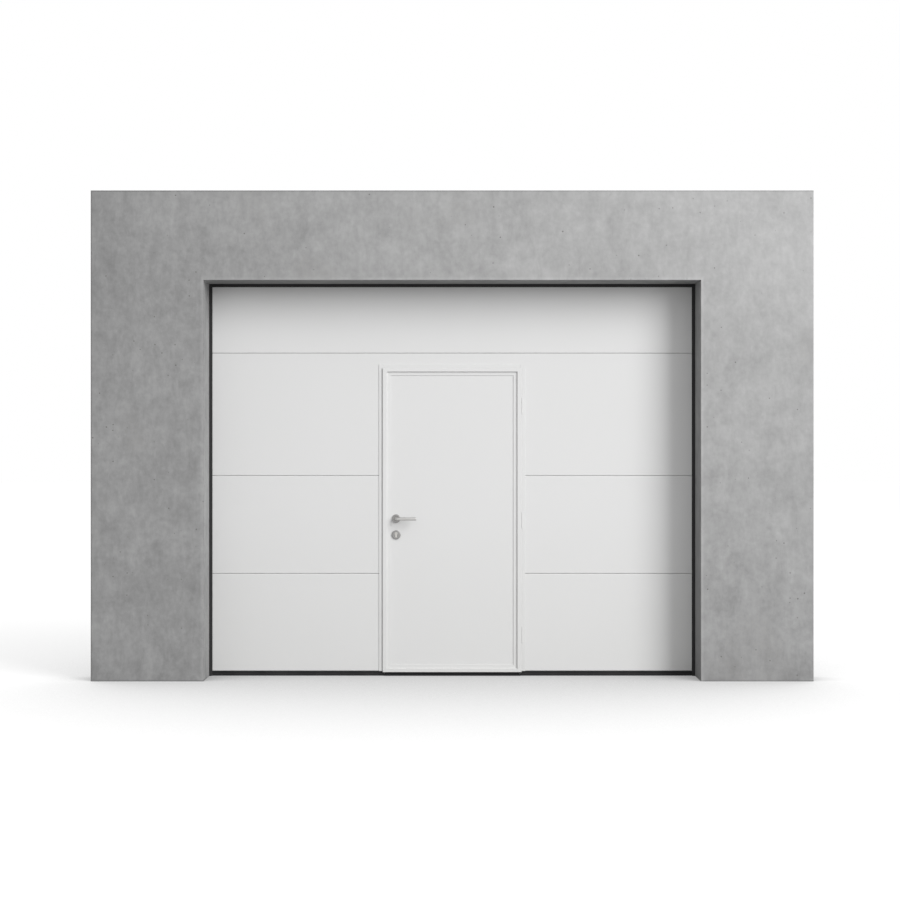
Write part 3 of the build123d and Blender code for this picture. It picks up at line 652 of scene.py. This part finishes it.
def sweep_round(tree, curve, sides, radius, given, result):
    """Draw a closed round bar along a curve, and end the tree with it."""
    ring = add_node(
        tree, "GeometryNodeCurvePrimitiveCircle", {}, {"Resolution": sides, "Radius": radius}
    )
    bar = add_node(
        tree, "GeometryNodeCurveToMesh", {},
        {"Curve": curve, "Profile Curve": ring.outputs[0], "Fill Caps": True},
    )
    end_tree(tree, bar.outputs[0], given, result)


def bake_tree(name, tree, seed_mesh, values):
    """Run a tree on a seed mesh with these input values, and return its result as plain mesh."""
    holder = bpy.data.objects.new(name, seed_mesh)
    scene.collection.objects.link(holder)
    modifier = holder.modifiers.new(name, "NODES")
    modifier.node_group = tree
    for item in tree.interface.items_tree:
        if item.item_type == "SOCKET" and item.in_out == "INPUT" and item.name in values:
            modifier[item.identifier] = values[item.name]
    graph = bpy.context.evaluated_depsgraph_get()
    mesh = bpy.data.meshes.new_from_object(holder.evaluated_get(graph), depsgraph=graph)
    bpy.data.objects.remove(holder)
    mesh.name = name
    return mesh


def spin_profile(build, outline, origin, axis, segments):
    """Turn an outline of (distance along the axis, radius) pairs into a closed round solid."""
    along = Vector(axis)
    side = along.orthogonal().normalized()
    points = [build.verts.new(Vector(origin) + along * d + side * r) for d, r in outline]
    edges = [build.edges.new(pair) for pair in zip(points, points[1:])]
    bmesh.ops.spin(
        build, geom=points + edges, cent=origin, axis=along, angle=2 * math.pi, steps=segments
    )
    bmesh.ops.remove_doubles(build, verts=build.verts, dist=1e-6)
    bmesh.ops.recalc_face_normals(build, faces=build.faces)


def finish_mesh(build, name, smooth_angle=35):
    """Turn a bmesh into a mesh that is smooth where its faces meet at less than an angle."""
    bmesh.ops.recalc_face_normals(build, faces=build.faces)
    mesh = bpy.data.meshes.new(name)
    build.to_mesh(mesh)
    build.free()
    mesh.shade_smooth()
    mesh.set_sharp_from_angle(angle=math.radians(smooth_angle))
    return mesh


print("helpers for pieces ready")

# %% [markdown]
# ## Torsion springs
#
# Each spring is one long wire, wound close round the shaft and held by a cast cone at each end.
# A helix follows a rule, so it is made with Geometry Nodes: a spiral curve gets a round wire
# along it. Inputs give its radius, length, number of turns and wire.

# %% The coil tree
coil_tree, coil_in, coil_out = new_tree(
    "close_wound_coil",
    {"Radius": "NodeSocketFloat", "Length": "NodeSocketFloat", "Turns": "NodeSocketFloat",
     "Wire Radius": "NodeSocketFloat"},
)
spiral = add_node(
    coil_tree, "GeometryNodeCurveSpiral", {},
    {"Resolution": 18, "Rotations": coil_in.outputs["Turns"],
     "Start Radius": coil_in.outputs["Radius"], "End Radius": coil_in.outputs["Radius"],
     "Height": coil_in.outputs["Length"]},
)
sweep_round(coil_tree, spiral.outputs[0], 6, coil_in.outputs["Wire Radius"], coil_in, coil_out)


def lay_coils(name, coil, near):
    """Lay a coil on its side round the shaft, from a distance outwards, left and right."""
    build = bmesh.new()
    for side in (-1, 1):
        lay_down = Matrix.Rotation(side * math.pi / 2, 4, "Y")
        half = coil.copy()
        place = Matrix.Translation((side * near, shaft_middle.y, shaft_middle.z))
        half.transform(place @ lay_down)
        build.from_mesh(half)
    return finish_mesh(build, name, 60)


print("coil tree", len(coil_tree.nodes), "nodes")

# %% Wind the two springs
SPRING_RADIUS, SPRING_WIRE, WIRE_GAP = 27 * MM, 5.6 * MM, 0.5 * MM
SPRING_NEAR, CONE_LENGTH = 4.3 * MM, 45 * MM
spring_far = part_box("torsion_springs")[1].x
coil_length = spring_far - SPRING_NEAR - 2 * CONE_LENGTH
coil_turns = int(coil_length / (SPRING_WIRE + WIRE_GAP))
coil = bake_tree(
    "coil", coil_tree, bpy.data.meshes.new("coil_seed"),
    {"Radius": SPRING_RADIUS - SPRING_WIRE / 2, "Length": coil_length, "Turns": float(coil_turns),
     "Wire Radius": SPRING_WIRE / 2, "Material": materials["spring_steel"]},
)
coils = lay_coils("torsion_coils", coil, SPRING_NEAR + CONE_LENGTH)
add_piece("torsion_coils", coils, "spring_steel", ROOT, ("torsion_springs",))

# %% Turn the cones at their ends
cone_outline = [
    (0, 13.2), (0, 24), (4, 30), (14, 32), (18, 32), (20, 27.5), (45, 26), (45, 13.2), (0, 13.2),
]
build = bmesh.new()
for side in (-1, 1):
    for near, direction in ((SPRING_NEAR, 1), (spring_far, -1)):
        outline = [(d * MM, r * MM) for d, r in cone_outline]
        origin = (side * near, shaft_middle.y, shaft_middle.z)
        spin_profile(build, outline, origin, (side * direction, 0, 0), 32)
cones = finish_mesh(build, "spring_cones")
add_piece("spring_cones", cones, "drum_alloy", ROOT)

# %% [markdown]
# ## Levers, roses and escutcheons
#
# The lever is one round bar, bent where it leaves the door. The bend follows a path, so a
# Geometry Nodes tree rounds the corner of a three-point path and draws the bar along it, and a
# bevel then eases the bar's end. The round covers are turned parts: an outline spun about its
# own axis gives each one, with a soft edge that catches the light.

# %% The bar tree
bar_tree, bar_in, bar_out = new_tree(
    "bent_round_bar",
    {"Bar Radius": "NodeSocketFloat", "Bend Radius": "NodeSocketFloat"},
)
route = add_node(bar_tree, "GeometryNodeMeshToCurve", {}, {"Mesh": bar_in.outputs["Geometry"]})
bent = add_node(
    bar_tree, "GeometryNodeFilletCurve", {"mode": "POLY"},
    {"Curve": route.outputs[0], "Count": 14, "Radius": bar_in.outputs["Bend Radius"]},
)
sweep_round(bar_tree, bent.outputs[0], 36, bar_in.outputs["Bar Radius"], bar_in, bar_out)
print("bar tree", len(bar_tree.nodes), "nodes")

# %% Bend the levers
lever_lo, lever_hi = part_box("outer_lever")
rose_lo, rose_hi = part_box("lever_roses")
rose_radius = (rose_hi.x - rose_lo.x) / 2
lever_x = (rose_lo.x + rose_hi.x) / 2
lever_z = (rose_lo.z + rose_hi.z) / 2
BAR_RADIUS, LEVER_BEND, LEVER_EASE = 9.5 * MM, 20 * MM, 2.4 * MM
COLLAR_RADIUS, COLLAR_LENGTH = 11 * MM, 11 * MM
collar_start = -lever_hi.y
grip_y = -lever_lo.y - BAR_RADIUS

build = bmesh.new()
for direction in (-1, 1):
    start = (lever_x, direction * collar_start, lever_z)
    path_mesh = bpy.data.meshes.new("lever_path")
    path_mesh.from_pydata(
        [start, (lever_x, direction * grip_y, lever_z),
         (lever_hi.x, direction * grip_y, lever_z)],
        [(0, 1), (1, 2)], [],
    )
    bar = bake_tree(
        "lever_bar", bar_tree, path_mesh,
        {"Bar Radius": BAR_RADIUS, "Bend Radius": LEVER_BEND, "Material": materials["stainless"]},
    )
    build.from_mesh(bar)
    collar = [(0, 0), (0, COLLAR_RADIUS), (COLLAR_LENGTH - MM, COLLAR_RADIUS),
              (COLLAR_LENGTH, COLLAR_RADIUS - MM), (COLLAR_LENGTH, 0)]
    spin_profile(build, collar, start, (0, direction, 0), 36)

# Ease the free ends: the edges of the round caps, which are the only faces of many corners.
end_rims = [
    e for e in build.edges
    if all(v.co.x > lever_hi.x - 1e-5 for v in e.verts)
    and any(len(f.verts) > 8 for f in e.link_faces)
]
bmesh.ops.bevel(
    build, geom=end_rims, offset=LEVER_EASE, segments=4, profile=0.5, affect="EDGES",
    clamp_overlap=True,
)
levers = finish_mesh(build, "lever_bars", 40)
add_piece("lever_bars", levers, "stainless", LEVER, ("outer_lever", "inner_lever"))

# %% Turn the roses and the escutcheons
COVER_HEIGHT, ROSE_HOLE = 8 * MM, 11.6 * MM
EASED_EDGE = ((3.2, 0.0), (1.9, 0.5), (0.8, 1.4), (0.2, 2.8), (0.0, 4.6))   # mm down, mm in
plate_lo, plate_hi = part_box("lock_escutcheons")
plate_radius = (plate_hi.x - plate_lo.x) / 2
plate_z = (plate_lo.z + plate_hi.z) / 2
skin_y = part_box("leaf_panel")[1].y


def cover_outline(radius, hole):
    """Outline of a round cover: an upright rim, an eased edge and a shallow dish to its middle."""
    edge = [(COVER_HEIGHT - down * MM, radius - into * MM) for down, into in EASED_EDGE]
    dish = [(COVER_HEIGHT - 0.4 * MM, hole + 1.5 * MM), (COVER_HEIGHT - 0.8 * MM, hole)]
    return [(0, hole), (0, radius), *edge, *dish] + ([(0, hole)] if hole else [])


for name, radius, hole, z, replaced in (
    ("roses", rose_radius, ROSE_HOLE, lever_z, "lever_roses"),
    ("escutcheons", plate_radius, 0, plate_z, "lock_escutcheons"),
):
    build = bmesh.new()
    for direction in (-1, 1):
        spin_profile(
            build, cover_outline(radius, hole), (lever_x, direction * skin_y, z),
            (0, direction, 0), 56,
        )
    covers = finish_mesh(build, name)
    add_piece(name, covers, "stainless", LEAF, (replaced,), finish="rose_steel")

# %% [markdown]
# ## Bolts and screws
#
# Some hundred and fifty bolts and screws of three kinds hold the door. Each kind is modelled
# once, with few faces, and a Geometry Nodes tree copies it to a list of spots: every spot is a
# point with a direction to face. One mesh comes out for each body and kind.


# %% The copying tree
copy_tree, copy_in, copy_out = new_tree("copies_on_points", {"Pattern": "NodeSocketObject"})
pattern = add_node(copy_tree, "GeometryNodeObjectInfo", {}, {"Object": copy_in.outputs["Pattern"]})
facing = add_node(
    copy_tree, "GeometryNodeInputNamedAttribute", {"data_type": "FLOAT_VECTOR"}, {"Name": "facing"}
)
turned = add_node(
    copy_tree, "FunctionNodeAlignRotationToVector", {"axis": "Z"}, {"Vector": facing.outputs[0]}
)
copies = add_node(
    copy_tree, "GeometryNodeInstanceOnPoints", {},
    {"Points": copy_in.outputs["Geometry"], "Instance": pattern.outputs["Geometry"],
     "Rotation": turned.outputs[0]},
)
end_tree(copy_tree, copies.outputs[0], copy_in, copy_out)


def place_copies(name, pattern_mesh, spots, slot_name, body, replaced=()):
    """Copy a pattern, modelled along +Z, to each (place, facing) spot, as one piece."""
    holder = bpy.data.objects.new(name + "_pattern", pattern_mesh)
    points = bpy.data.meshes.new(name + "_spots")
    points.from_pydata([place for place, _ in spots], [], [])
    ways = points.attributes.new("facing", "FLOAT_VECTOR", "POINT")
    ways.data.foreach_set("vector", [c for _, way in spots for c in way])
    mesh = bake_tree(name, copy_tree, points, {"Pattern": holder, "Material": materials[slot_name]})
    bpy.data.objects.remove(holder)
    return add_piece(name, mesh, slot_name, body, replaced)


print("copying tree", len(copy_tree.nodes), "nodes")


# %% The three kinds of screw
BACK, FRONT, UP, RIGHT, LEFT = (0, 1, 0), (0, -1, 0), (0, 0, 1), (1, 0, 0), (-1, 0, 0)
HEAD_FLAT, CORNER_EASED = 0.85, 0.86      # where a head's bevel starts, and how far it goes in


def turned_pattern(name, outline_mm, segments):
    """A small turned part along +Z, from an outline of (height, radius) in millimetres."""
    build = bmesh.new()
    spin_profile(build, [(h * MM, r * MM) for h, r in outline_mm], (0, 0, 0), UP, segments)
    return finish_mesh(build, name, 30)


def hex_bolt(name, across_flats, head, washer_radius, washer):
    """A hexagon head with its corners eased, on a round washer, along +Z."""
    build = bmesh.new()
    corner = across_flats / math.sqrt(3)
    levels = (
        (washer, corner), (washer + head * HEAD_FLAT, corner),
        (washer + head, corner * CORNER_EASED),
    )
    rings = []
    for height, radius in levels:
        rings.append([
            build.verts.new((radius * MM * math.cos(math.radians(60 * k)),
                             radius * MM * math.sin(math.radians(60 * k)), height * MM))
            for k in range(6)
        ])
    for low, high in zip(rings, rings[1:]):
        for k in range(6):
            build.faces.new((low[k], low[(k + 1) % 6], high[(k + 1) % 6], high[k]))
    build.faces.new(rings[-1])
    build.faces.new(list(reversed(rings[0])))
    outline = [(0, 0), (0, washer_radius), (washer, washer_radius), (washer, 0)]
    spin_profile(build, [(h * MM, r * MM) for h, r in outline], (0, 0, 0), UP, 18)
    return finish_mesh(build, name, 25)


def corners(across, up):
    """Offsets on X and Z from the middle of a plate to the four screws at its corners."""
    return [(x, z) for x in (-across, across) for z in (-up, up)]


wall_bolt = hex_bolt("wall_bolt", 13, 5.3, 11, 1.8)
sheet_screw = hex_bolt("sheet_screw", 8, 4.0, 6.5, 1.2)
button_outline = [
    (0, 0), (0, 4.6), (0.6, 4.6), (1.4, 4.0), (1.9, 2.8), (2.0, 1.7), (0.7, 1.5), (0.7, 0),
]
button_screw = turned_pattern("button_screw", button_outline, 14)
print("faces of a bolt, a screw and a button head:",
      [len(kind.polygons) for kind in (wall_bolt, sheet_screw, button_screw)])

# %% Bolts in the wall, on the angles and on the bearing plates
SHEET = 2 * MM                            # thickness of the angles and the hinge plates
ANGLE_BOLT_HEIGHTS = (0.12, 0.58, 1.04, 1.50, 1.96, 2.42)
SPACER_BOLT_HEIGHTS = (0.27, 0.92, 1.57, 2.22)
ANGLE_BOLT_IN, SPACER_BOLT_OUT = 22 * MM, 20 * MM
BEARING_MIDDLE, BEARING_STEEL, BEARING_BOLTS = 47 * MM, 4 * MM, (30 * MM, 50 * MM)
angle_lo, angle_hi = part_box("frame_angles")
bearing_lo, bearing_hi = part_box("bearing_plates")
track_outer_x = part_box("vertical_tracks")[1].x

bolt_spots = []
for side in (-1, 1):
    angle_bolt_x = side * (angle_hi.x - ANGLE_BOLT_IN)
    spacer_bolt_x = side * (track_outer_x + SPACER_BOLT_OUT)
    bolt_spots += [((angle_bolt_x, angle_lo.y + SHEET, z), BACK) for z in ANGLE_BOLT_HEIGHTS]
    bolt_spots += [((spacer_bolt_x, angle_hi.y, z), BACK) for z in SPACER_BOLT_HEIGHTS]
for x in (bearing_lo.x + BEARING_MIDDLE, 0, bearing_hi.x - BEARING_MIDDLE):
    for dx, dz in corners(*BEARING_BOLTS):
        place = (x + dx, bearing_lo.y + BEARING_STEEL, shaft_middle.z + dz)
        bolt_spots.append((place, BACK))
place_copies("wall_bolts", wall_bolt, bolt_spots, "galvanised", ROOT)

# %% Screws in the roller holders, the hinges, the brackets and the hangers
HOLDER_STEEL, HOLDER_HALF, HOLDER_SCREWS = 3 * MM, 20 * MM, (11 * MM, 37 * MM)
HINGE_INSET, HINGE_PLATE_SCREWS = 70 * MM, (18 * MM, 34 * MM)
HANGER_INSET, HANGER_STEEL, BAR_SCREW_IN = 55 * MM, 3 * MM, 12 * MM
WHEEL_RADIUS, TONGUE_HEIGHT = 24 * MM, 10 * MM
BRACKET_SCREW_Y, BRACKET_SCREW_HEIGHTS = 2 * MM, (0.055, 0.100)
section_lo, section_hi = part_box("top_section")
middle_lo, middle_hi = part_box("left_middle_section")
roller_lo, roller_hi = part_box("rollers")
bar_lo, bar_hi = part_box("rear_cross_bar")
section_half, section_back = section_hi.x, section_hi.y
joint_zs = (middle_lo.z, middle_hi.z - TONGUE_HEIGHT, section_lo.z)
roller_zs = (roller_lo.z + WHEEL_RADIUS, *joint_zs, roller_hi.z - WHEEL_RADIUS)
holder_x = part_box("roller_holders")[1].x - HOLDER_HALF
near_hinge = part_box("wicket_frame_hinge_post")[1].x + HINGE_INSET
far_hinge = (near_hinge + section_half) / 2
hanger_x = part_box("ceiling_hangers")[1].x - HANGER_INSET

screw_spots = []
for side in (-1, 1):
    for z in roller_zs:
        for dx, dz in corners(*HOLDER_SCREWS):
            place = (side * holder_x + dx, section_back + HOLDER_STEEL, z + dz)
            screw_spots.append((place, BACK))
for z in joint_zs:
    middle_hinge = [0] if z == joint_zs[-1] else []
    for x in [-far_hinge, -near_hinge, near_hinge, far_hinge] + middle_hinge:
        for dx, dz in corners(*HINGE_PLATE_SCREWS):
            screw_spots.append(((x + dx, section_back + SHEET, z + dz), BACK))
for side, way in ((-1, LEFT), (1, RIGHT)):
    bracket_x = side * (section_half + HOLDER_STEEL)
    screw_spots += [((bracket_x, BRACKET_SCREW_Y, z), way) for z in BRACKET_SCREW_HEIGHTS]
for side in (-1, 1):
    for z in (bar_lo.z + BAR_SCREW_IN, bar_hi.z - BAR_SCREW_IN):
        screw_spots.append(((side * hanger_x, bar_lo.y - HANGER_STEEL, z), FRONT))
place_copies("sheet_screws", sheet_screw, screw_spots, "galvanised", ROOT)

# %% Screws in the wicket: forend, strike plate and leaf hinges
HINGE_STEEL, HINGE_HALF, HINGE_SCREW_Y = 1.5 * MM, 48 * MM, -8 * MM
HINGE_SCREWS, FOREND_SCREW_IN, STRIKE_SCREW_IN = (-0.033, 0, 0.033), 12 * MM, 10 * MM
forend_lo, forend_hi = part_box("lock_forend")
strike_lo, strike_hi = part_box("strike_plate")
hinge_lo, hinge_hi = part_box("leaf_hinge_halves")
leaf_spots = [
    ((forend_lo.x, 0, z), LEFT)
    for z in (forend_lo.z + FOREND_SCREW_IN, forend_hi.z - FOREND_SCREW_IN)
]
plate_x = hinge_lo.x + HINGE_STEEL
for z in (hinge_lo.z + HINGE_HALF, (hinge_lo.z + hinge_hi.z) / 2, hinge_hi.z - HINGE_HALF):
    leaf_spots += [((plate_x, HINGE_SCREW_Y, z + dz), RIGHT) for dz in HINGE_SCREWS]
place_copies("leaf_screws", button_screw, leaf_spots, "stainless", LEAF)
strike_spots = [
    ((strike_hi.x, 0, z), RIGHT)
    for z in (strike_lo.z + STRIKE_SCREW_IN, strike_hi.z - STRIKE_SCREW_IN)
]
place_copies("strike_screws", button_screw, strike_spots, "stainless", ROOT)

# %% [markdown]
# ## Rollers and cable drums
#
# A roller is a nylon tyre on a steel hub, and its axle is zinc-plated steel. The solid model has
# them in one node, so the wheels are turned here and the axles are made beside them. The last
# turns of the lift cable stay on the drum when the door is shut, and the coil tree winds them.

# %% Turn the rollers
wheel_outline = [
    (0, 9), (0, 13), (1.5, 14.5), (1.5, 20), (0.4, 22.3), (1.6, 24), (11.4, 24), (12.6, 22.3),
    (11.5, 20), (11.5, 14.5), (13, 13), (13, 9), (0, 9),
]
wheel_x, roller_y = roller_hi.x, (roller_lo.y + roller_hi.y) / 2
axle_length = (wheel_x - holder_x + HOLDER_HALF) / MM
axle_outline = [
    (0.6, 0), (0.6, 9), (12.4, 9), (12.4, 5.5), (axle_length, 5.5), (axle_length, 0),
]
wheel_spots = [
    ((side * wheel_x, roller_y, z), way) for side, way in ((-1, RIGHT), (1, LEFT))
    for z in roller_zs
]
wheel = turned_pattern("wheel", wheel_outline, 40)
place_copies("roller_wheels", wheel, wheel_spots, "roller_nylon", ROOT, ("rollers",))
axle = turned_pattern("axle", axle_outline, 20)
place_copies("roller_axles", axle, wheel_spots, "galvanised", ROOT)

# %% Wind the last turns of cable on the drums
DRUM_GROOVE, TURNS_KEPT = 5 * MM, 3.0
wraps = bake_tree(
    "wraps", coil_tree, bpy.data.meshes.new("wrap_seed"),
    {"Radius": wound_radius, "Length": TURNS_KEPT * DRUM_GROOVE, "Turns": TURNS_KEPT,
     "Wire Radius": ROPE_RADIUS, "Material": materials["wound_rope"]},
)
wound_cable = lay_coils("wound_cable", wraps, rope_x - ROPE_RADIUS)
add_piece("wound_cable", wound_cable, "cable_steel", ROOT, finish="wound_rope")

# %% [markdown]
# ## End caps, gasket, corner plugs and ribs
#
# Each section is closed at its ends by a folded steel cap, which carries the roller holders. The
# leaf shuts against a rubber gasket behind its flange, and a rubber plug closes each corner
# beside the threshold, which is ribbed so that a wet shoe doesn't slip. All are thin trim, made
# from a few boxes each.


# %% Thin trim
def add_bar(build, corner, opposite):
    """Add a closed box between two opposite corners to a bmesh."""
    corner, opposite = Vector(corner), Vector(opposite)
    size = [abs(length) for length in opposite - corner]
    place = Matrix.Translation((corner + opposite) / 2) @ Matrix.Diagonal((*size, 1.0))
    bmesh.ops.create_cube(build, size=1.0, matrix=place)


CAP_STEEL, CAP_WIDTH, CAP_SHORT, CAP_SET_BACK = 0.8 * MM, 62 * MM, 7 * MM, 6 * MM
cap_front, cap_back = CAP_SET_BACK - section_back, section_back + CAP_STEEL
floor_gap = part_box("left_bottom_section")[0].z
build = bmesh.new()
for side in (-1, 1):
    end_x = side * section_half
    for low, high in zip((floor_gap, *joint_zs), (*joint_zs, section_hi.z)):
        low, high = low + CAP_SHORT, high - CAP_SHORT
        add_bar(build, (end_x - side * CAP_WIDTH, section_back, low), (end_x, cap_back, high))
        add_bar(build, (end_x, cap_front, low), (end_x + side * CAP_STEEL, cap_back, high))
end_caps = finish_mesh(build, "end_caps")
add_piece("end_caps", end_caps, "galvanised", ROOT)

# %% Leaf gasket
GASKET_WIDTH, GASKET_DEEP, GASKET_ROUND, FLANGE_DEEP = 9 * MM, 3 * MM, 1.2 * MM, 4 * MM
GASKET_IN, GASKET_UP, GASKET_DOWN = 1.5 * MM, 4 * MM, 2 * MM
rail_lo, rail_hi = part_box("leaf_rails")
outer_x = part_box("leaf_lock_stile")[0].x + GASKET_IN
near_y = hinge_lo.y + FLANGE_DEEP
far_y = near_y + GASKET_DEEP
foot_z, head_z = rail_lo.z + GASKET_UP, rail_hi.z - GASKET_DOWN
build = bmesh.new()
add_bar(build, (outer_x, near_y, foot_z), (outer_x + GASKET_WIDTH, far_y, head_z))
add_bar(build, (outer_x, near_y, head_z - GASKET_WIDTH), (-outer_x, far_y, head_z))
bmesh.ops.bevel(
    build, geom=[e for e in build.edges if e.calc_length() > 0.1], offset=GASKET_ROUND,
    segments=3, profile=0.5, affect="EDGES", clamp_overlap=True,
)
gasket = finish_mesh(build, "leaf_gasket")
add_piece("leaf_gasket", gasket, "seal_black", LEAF)

# %% Rubber plugs at the feet of the wicket frame
PLUG_DEEP, PLUG_LOW, SILL_TOP = 4 * MM, 7 * MM, 10 * MM
post_lo, post_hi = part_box("wicket_frame_hinge_post")
sill_lo, sill_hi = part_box("threshold")
build = bmesh.new()
for side in (-1, 1):
    add_bar(
        build, (side * post_lo.x, post_hi.y - PLUG_DEEP, PLUG_LOW),
        (side * sill_hi.x, post_hi.y, post_lo.z),
    )
foot_plugs = finish_mesh(build, "foot_plugs")
add_piece("foot_plugs", foot_plugs, "seal_black", ROOT)

# %% Ribs on the threshold
RIB_HALF, RIB_HIGH, RIB_END = 1.4 * MM, 0.9 * MM, 4 * MM
RIB_ROWS = (-18, -11, -4, 3, 10, 17)      # millimetres from the middle of the threshold
build = bmesh.new()
add_bar(build, (sill_lo.x + RIB_END, -RIB_HALF, -MM), (sill_hi.x - RIB_END, RIB_HALF, RIB_HIGH))
rib = finish_mesh(build, "rib")
rib_spots = [((0, y * MM, SILL_TOP), UP) for y in RIB_ROWS]
place_copies("threshold_ribs", rib, rib_spots, "threshold_dark", ROOT)

# %% [markdown]
# ## Floor, world and lamps
#
# A pale floor carries the shadow. The camera and bright metal see a white world, while the light
# that falls on the object is plain, so that a colour renders about as it is written. The lamp is
# a wide, high softbox far to the right: its size gives the soft shadow inside the opening.

# %% The lamp
KEY_WATTS, KEY_WIDE, KEY_HIGH = 5600, 12.0, 20.0
KEY_PLACE, KEY_AIM = Vector((17.0, -17.0, 12.5)), Vector((0.0, 0.0, 1.3))

key_data = bpy.data.lights.new("softbox", "AREA")
key_data.shape = "RECTANGLE"
key_data.size = KEY_WIDE
key_data.size_y = KEY_HIGH
key_data.energy = KEY_WATTS
key = bpy.data.objects.new("softbox", key_data)
key.location = KEY_PLACE
key.rotation_mode = "QUATERNION"
key.rotation_quaternion = (KEY_AIM - KEY_PLACE).to_track_quat("-Z", "Y")
scene.collection.objects.link(key)
print("softbox", KEY_WIDE, "by", KEY_HIGH, "m at", round((KEY_AIM - KEY_PLACE).length, 1), "m")


# %% The world
def seen_directly(tree):
    """1 where a camera, mirror or glass ray arrives, and 0 for light that falls on the object."""
    ray = add_node(tree, "ShaderNodeLightPath", {}, {}).outputs
    seen = ray["Is Camera Ray"]
    for kind in ("Is Glossy Ray", "Is Transmission Ray"):
        seen = add_node(
            tree, "ShaderNodeMath", {"operation": "MAXIMUM"}, {0: seen, 1: ray[kind]}
        ).outputs[0]
    return seen


WORLD_LIGHT, WHITE = 0.74, (1, 1, 1, 1)
world = bpy.data.worlds.new("studio_world")
scene.world = world
world.use_nodes = True
tree = world.node_tree
tree.nodes.clear()
lighting = add_node(tree, "ShaderNodeBackground", {}, {0: WHITE, 1: WORLD_LIGHT}).outputs[0]
backdrop = add_node(tree, "ShaderNodeBackground", {}, {0: WHITE, 1: 1.0}).outputs[0]
choice = add_node(
    tree, "ShaderNodeMixShader", {}, {0: seen_directly(tree), 1: lighting, 2: backdrop}
).outputs[0]
add_node(tree, "ShaderNodeOutputWorld", {}, {0: choice})
scene.view_settings.view_transform = "Standard"
print("world light", WORLD_LIGHT)

# %% The floor
FLOOR_SIZE = 120
FLOOR_GLOW, FLOOR_SHADE = 0.67, 0.45      # the plain white, and the share that takes shadows
CONTACT_REACH, CONTACT_DARK = 8.0, 0.78

floor_mesh = bpy.data.meshes.new("floor")
build = bmesh.new()
bmesh.ops.create_grid(build, x_segments=1, y_segments=1, size=FLOOR_SIZE / 2)
build.to_mesh(floor_mesh)
build.free()
floor = bpy.data.objects.new("floor", floor_mesh)
scene.collection.objects.link(floor)

floor_material = bpy.data.materials.new("studio_floor")
floor_material.use_nodes = True
tree = floor_material.node_tree
tree.nodes.clear()
# Painted shade: ambient occlusion dims the floor's glow and its lit share near the object, as a
# contact shadow.
contact = add_node(
    tree, "ShaderNodeAmbientOcclusion", {"samples": 8}, {"Distance": CONTACT_REACH}
).outputs["AO"]
open_sky = add_node(
    tree, "ShaderNodeMapRange", {},
    {"Value": contact, "From Min": 0.0, "From Max": 1.0,
     "To Min": 1 - CONTACT_DARK, "To Max": 1.0},
).outputs[0]
glow_level, shade_level = [
    add_node(tree, "ShaderNodeMath", {"operation": "MULTIPLY"}, {0: open_sky, 1: share}).outputs[0]
    for share in (FLOOR_GLOW, FLOOR_SHADE)
]
shade_colour = add_node(
    tree, "ShaderNodeCombineColor", {}, {0: shade_level, 1: shade_level, 2: shade_level}
).outputs[0]
glow = add_node(tree, "ShaderNodeEmission", {}, {"Strength": glow_level}).outputs[0]
shade = add_node(tree, "ShaderNodeBsdfDiffuse", {}, {"Color": shade_colour}).outputs[0]
shown = add_node(tree, "ShaderNodeAddShader", {}, {0: glow, 1: shade}).outputs[0]
lit = add_node(tree, "ShaderNodeBsdfDiffuse", {}, {"Color": linear("#A0A0A0")}).outputs[0]
choice = add_node(
    tree, "ShaderNodeMixShader", {}, {0: seen_directly(tree), 1: lit, 2: shown}
).outputs[0]
add_node(tree, "ShaderNodeOutputMaterial", {}, {0: choice})
floor_mesh.materials.append(floor_material)
print("floor ready")
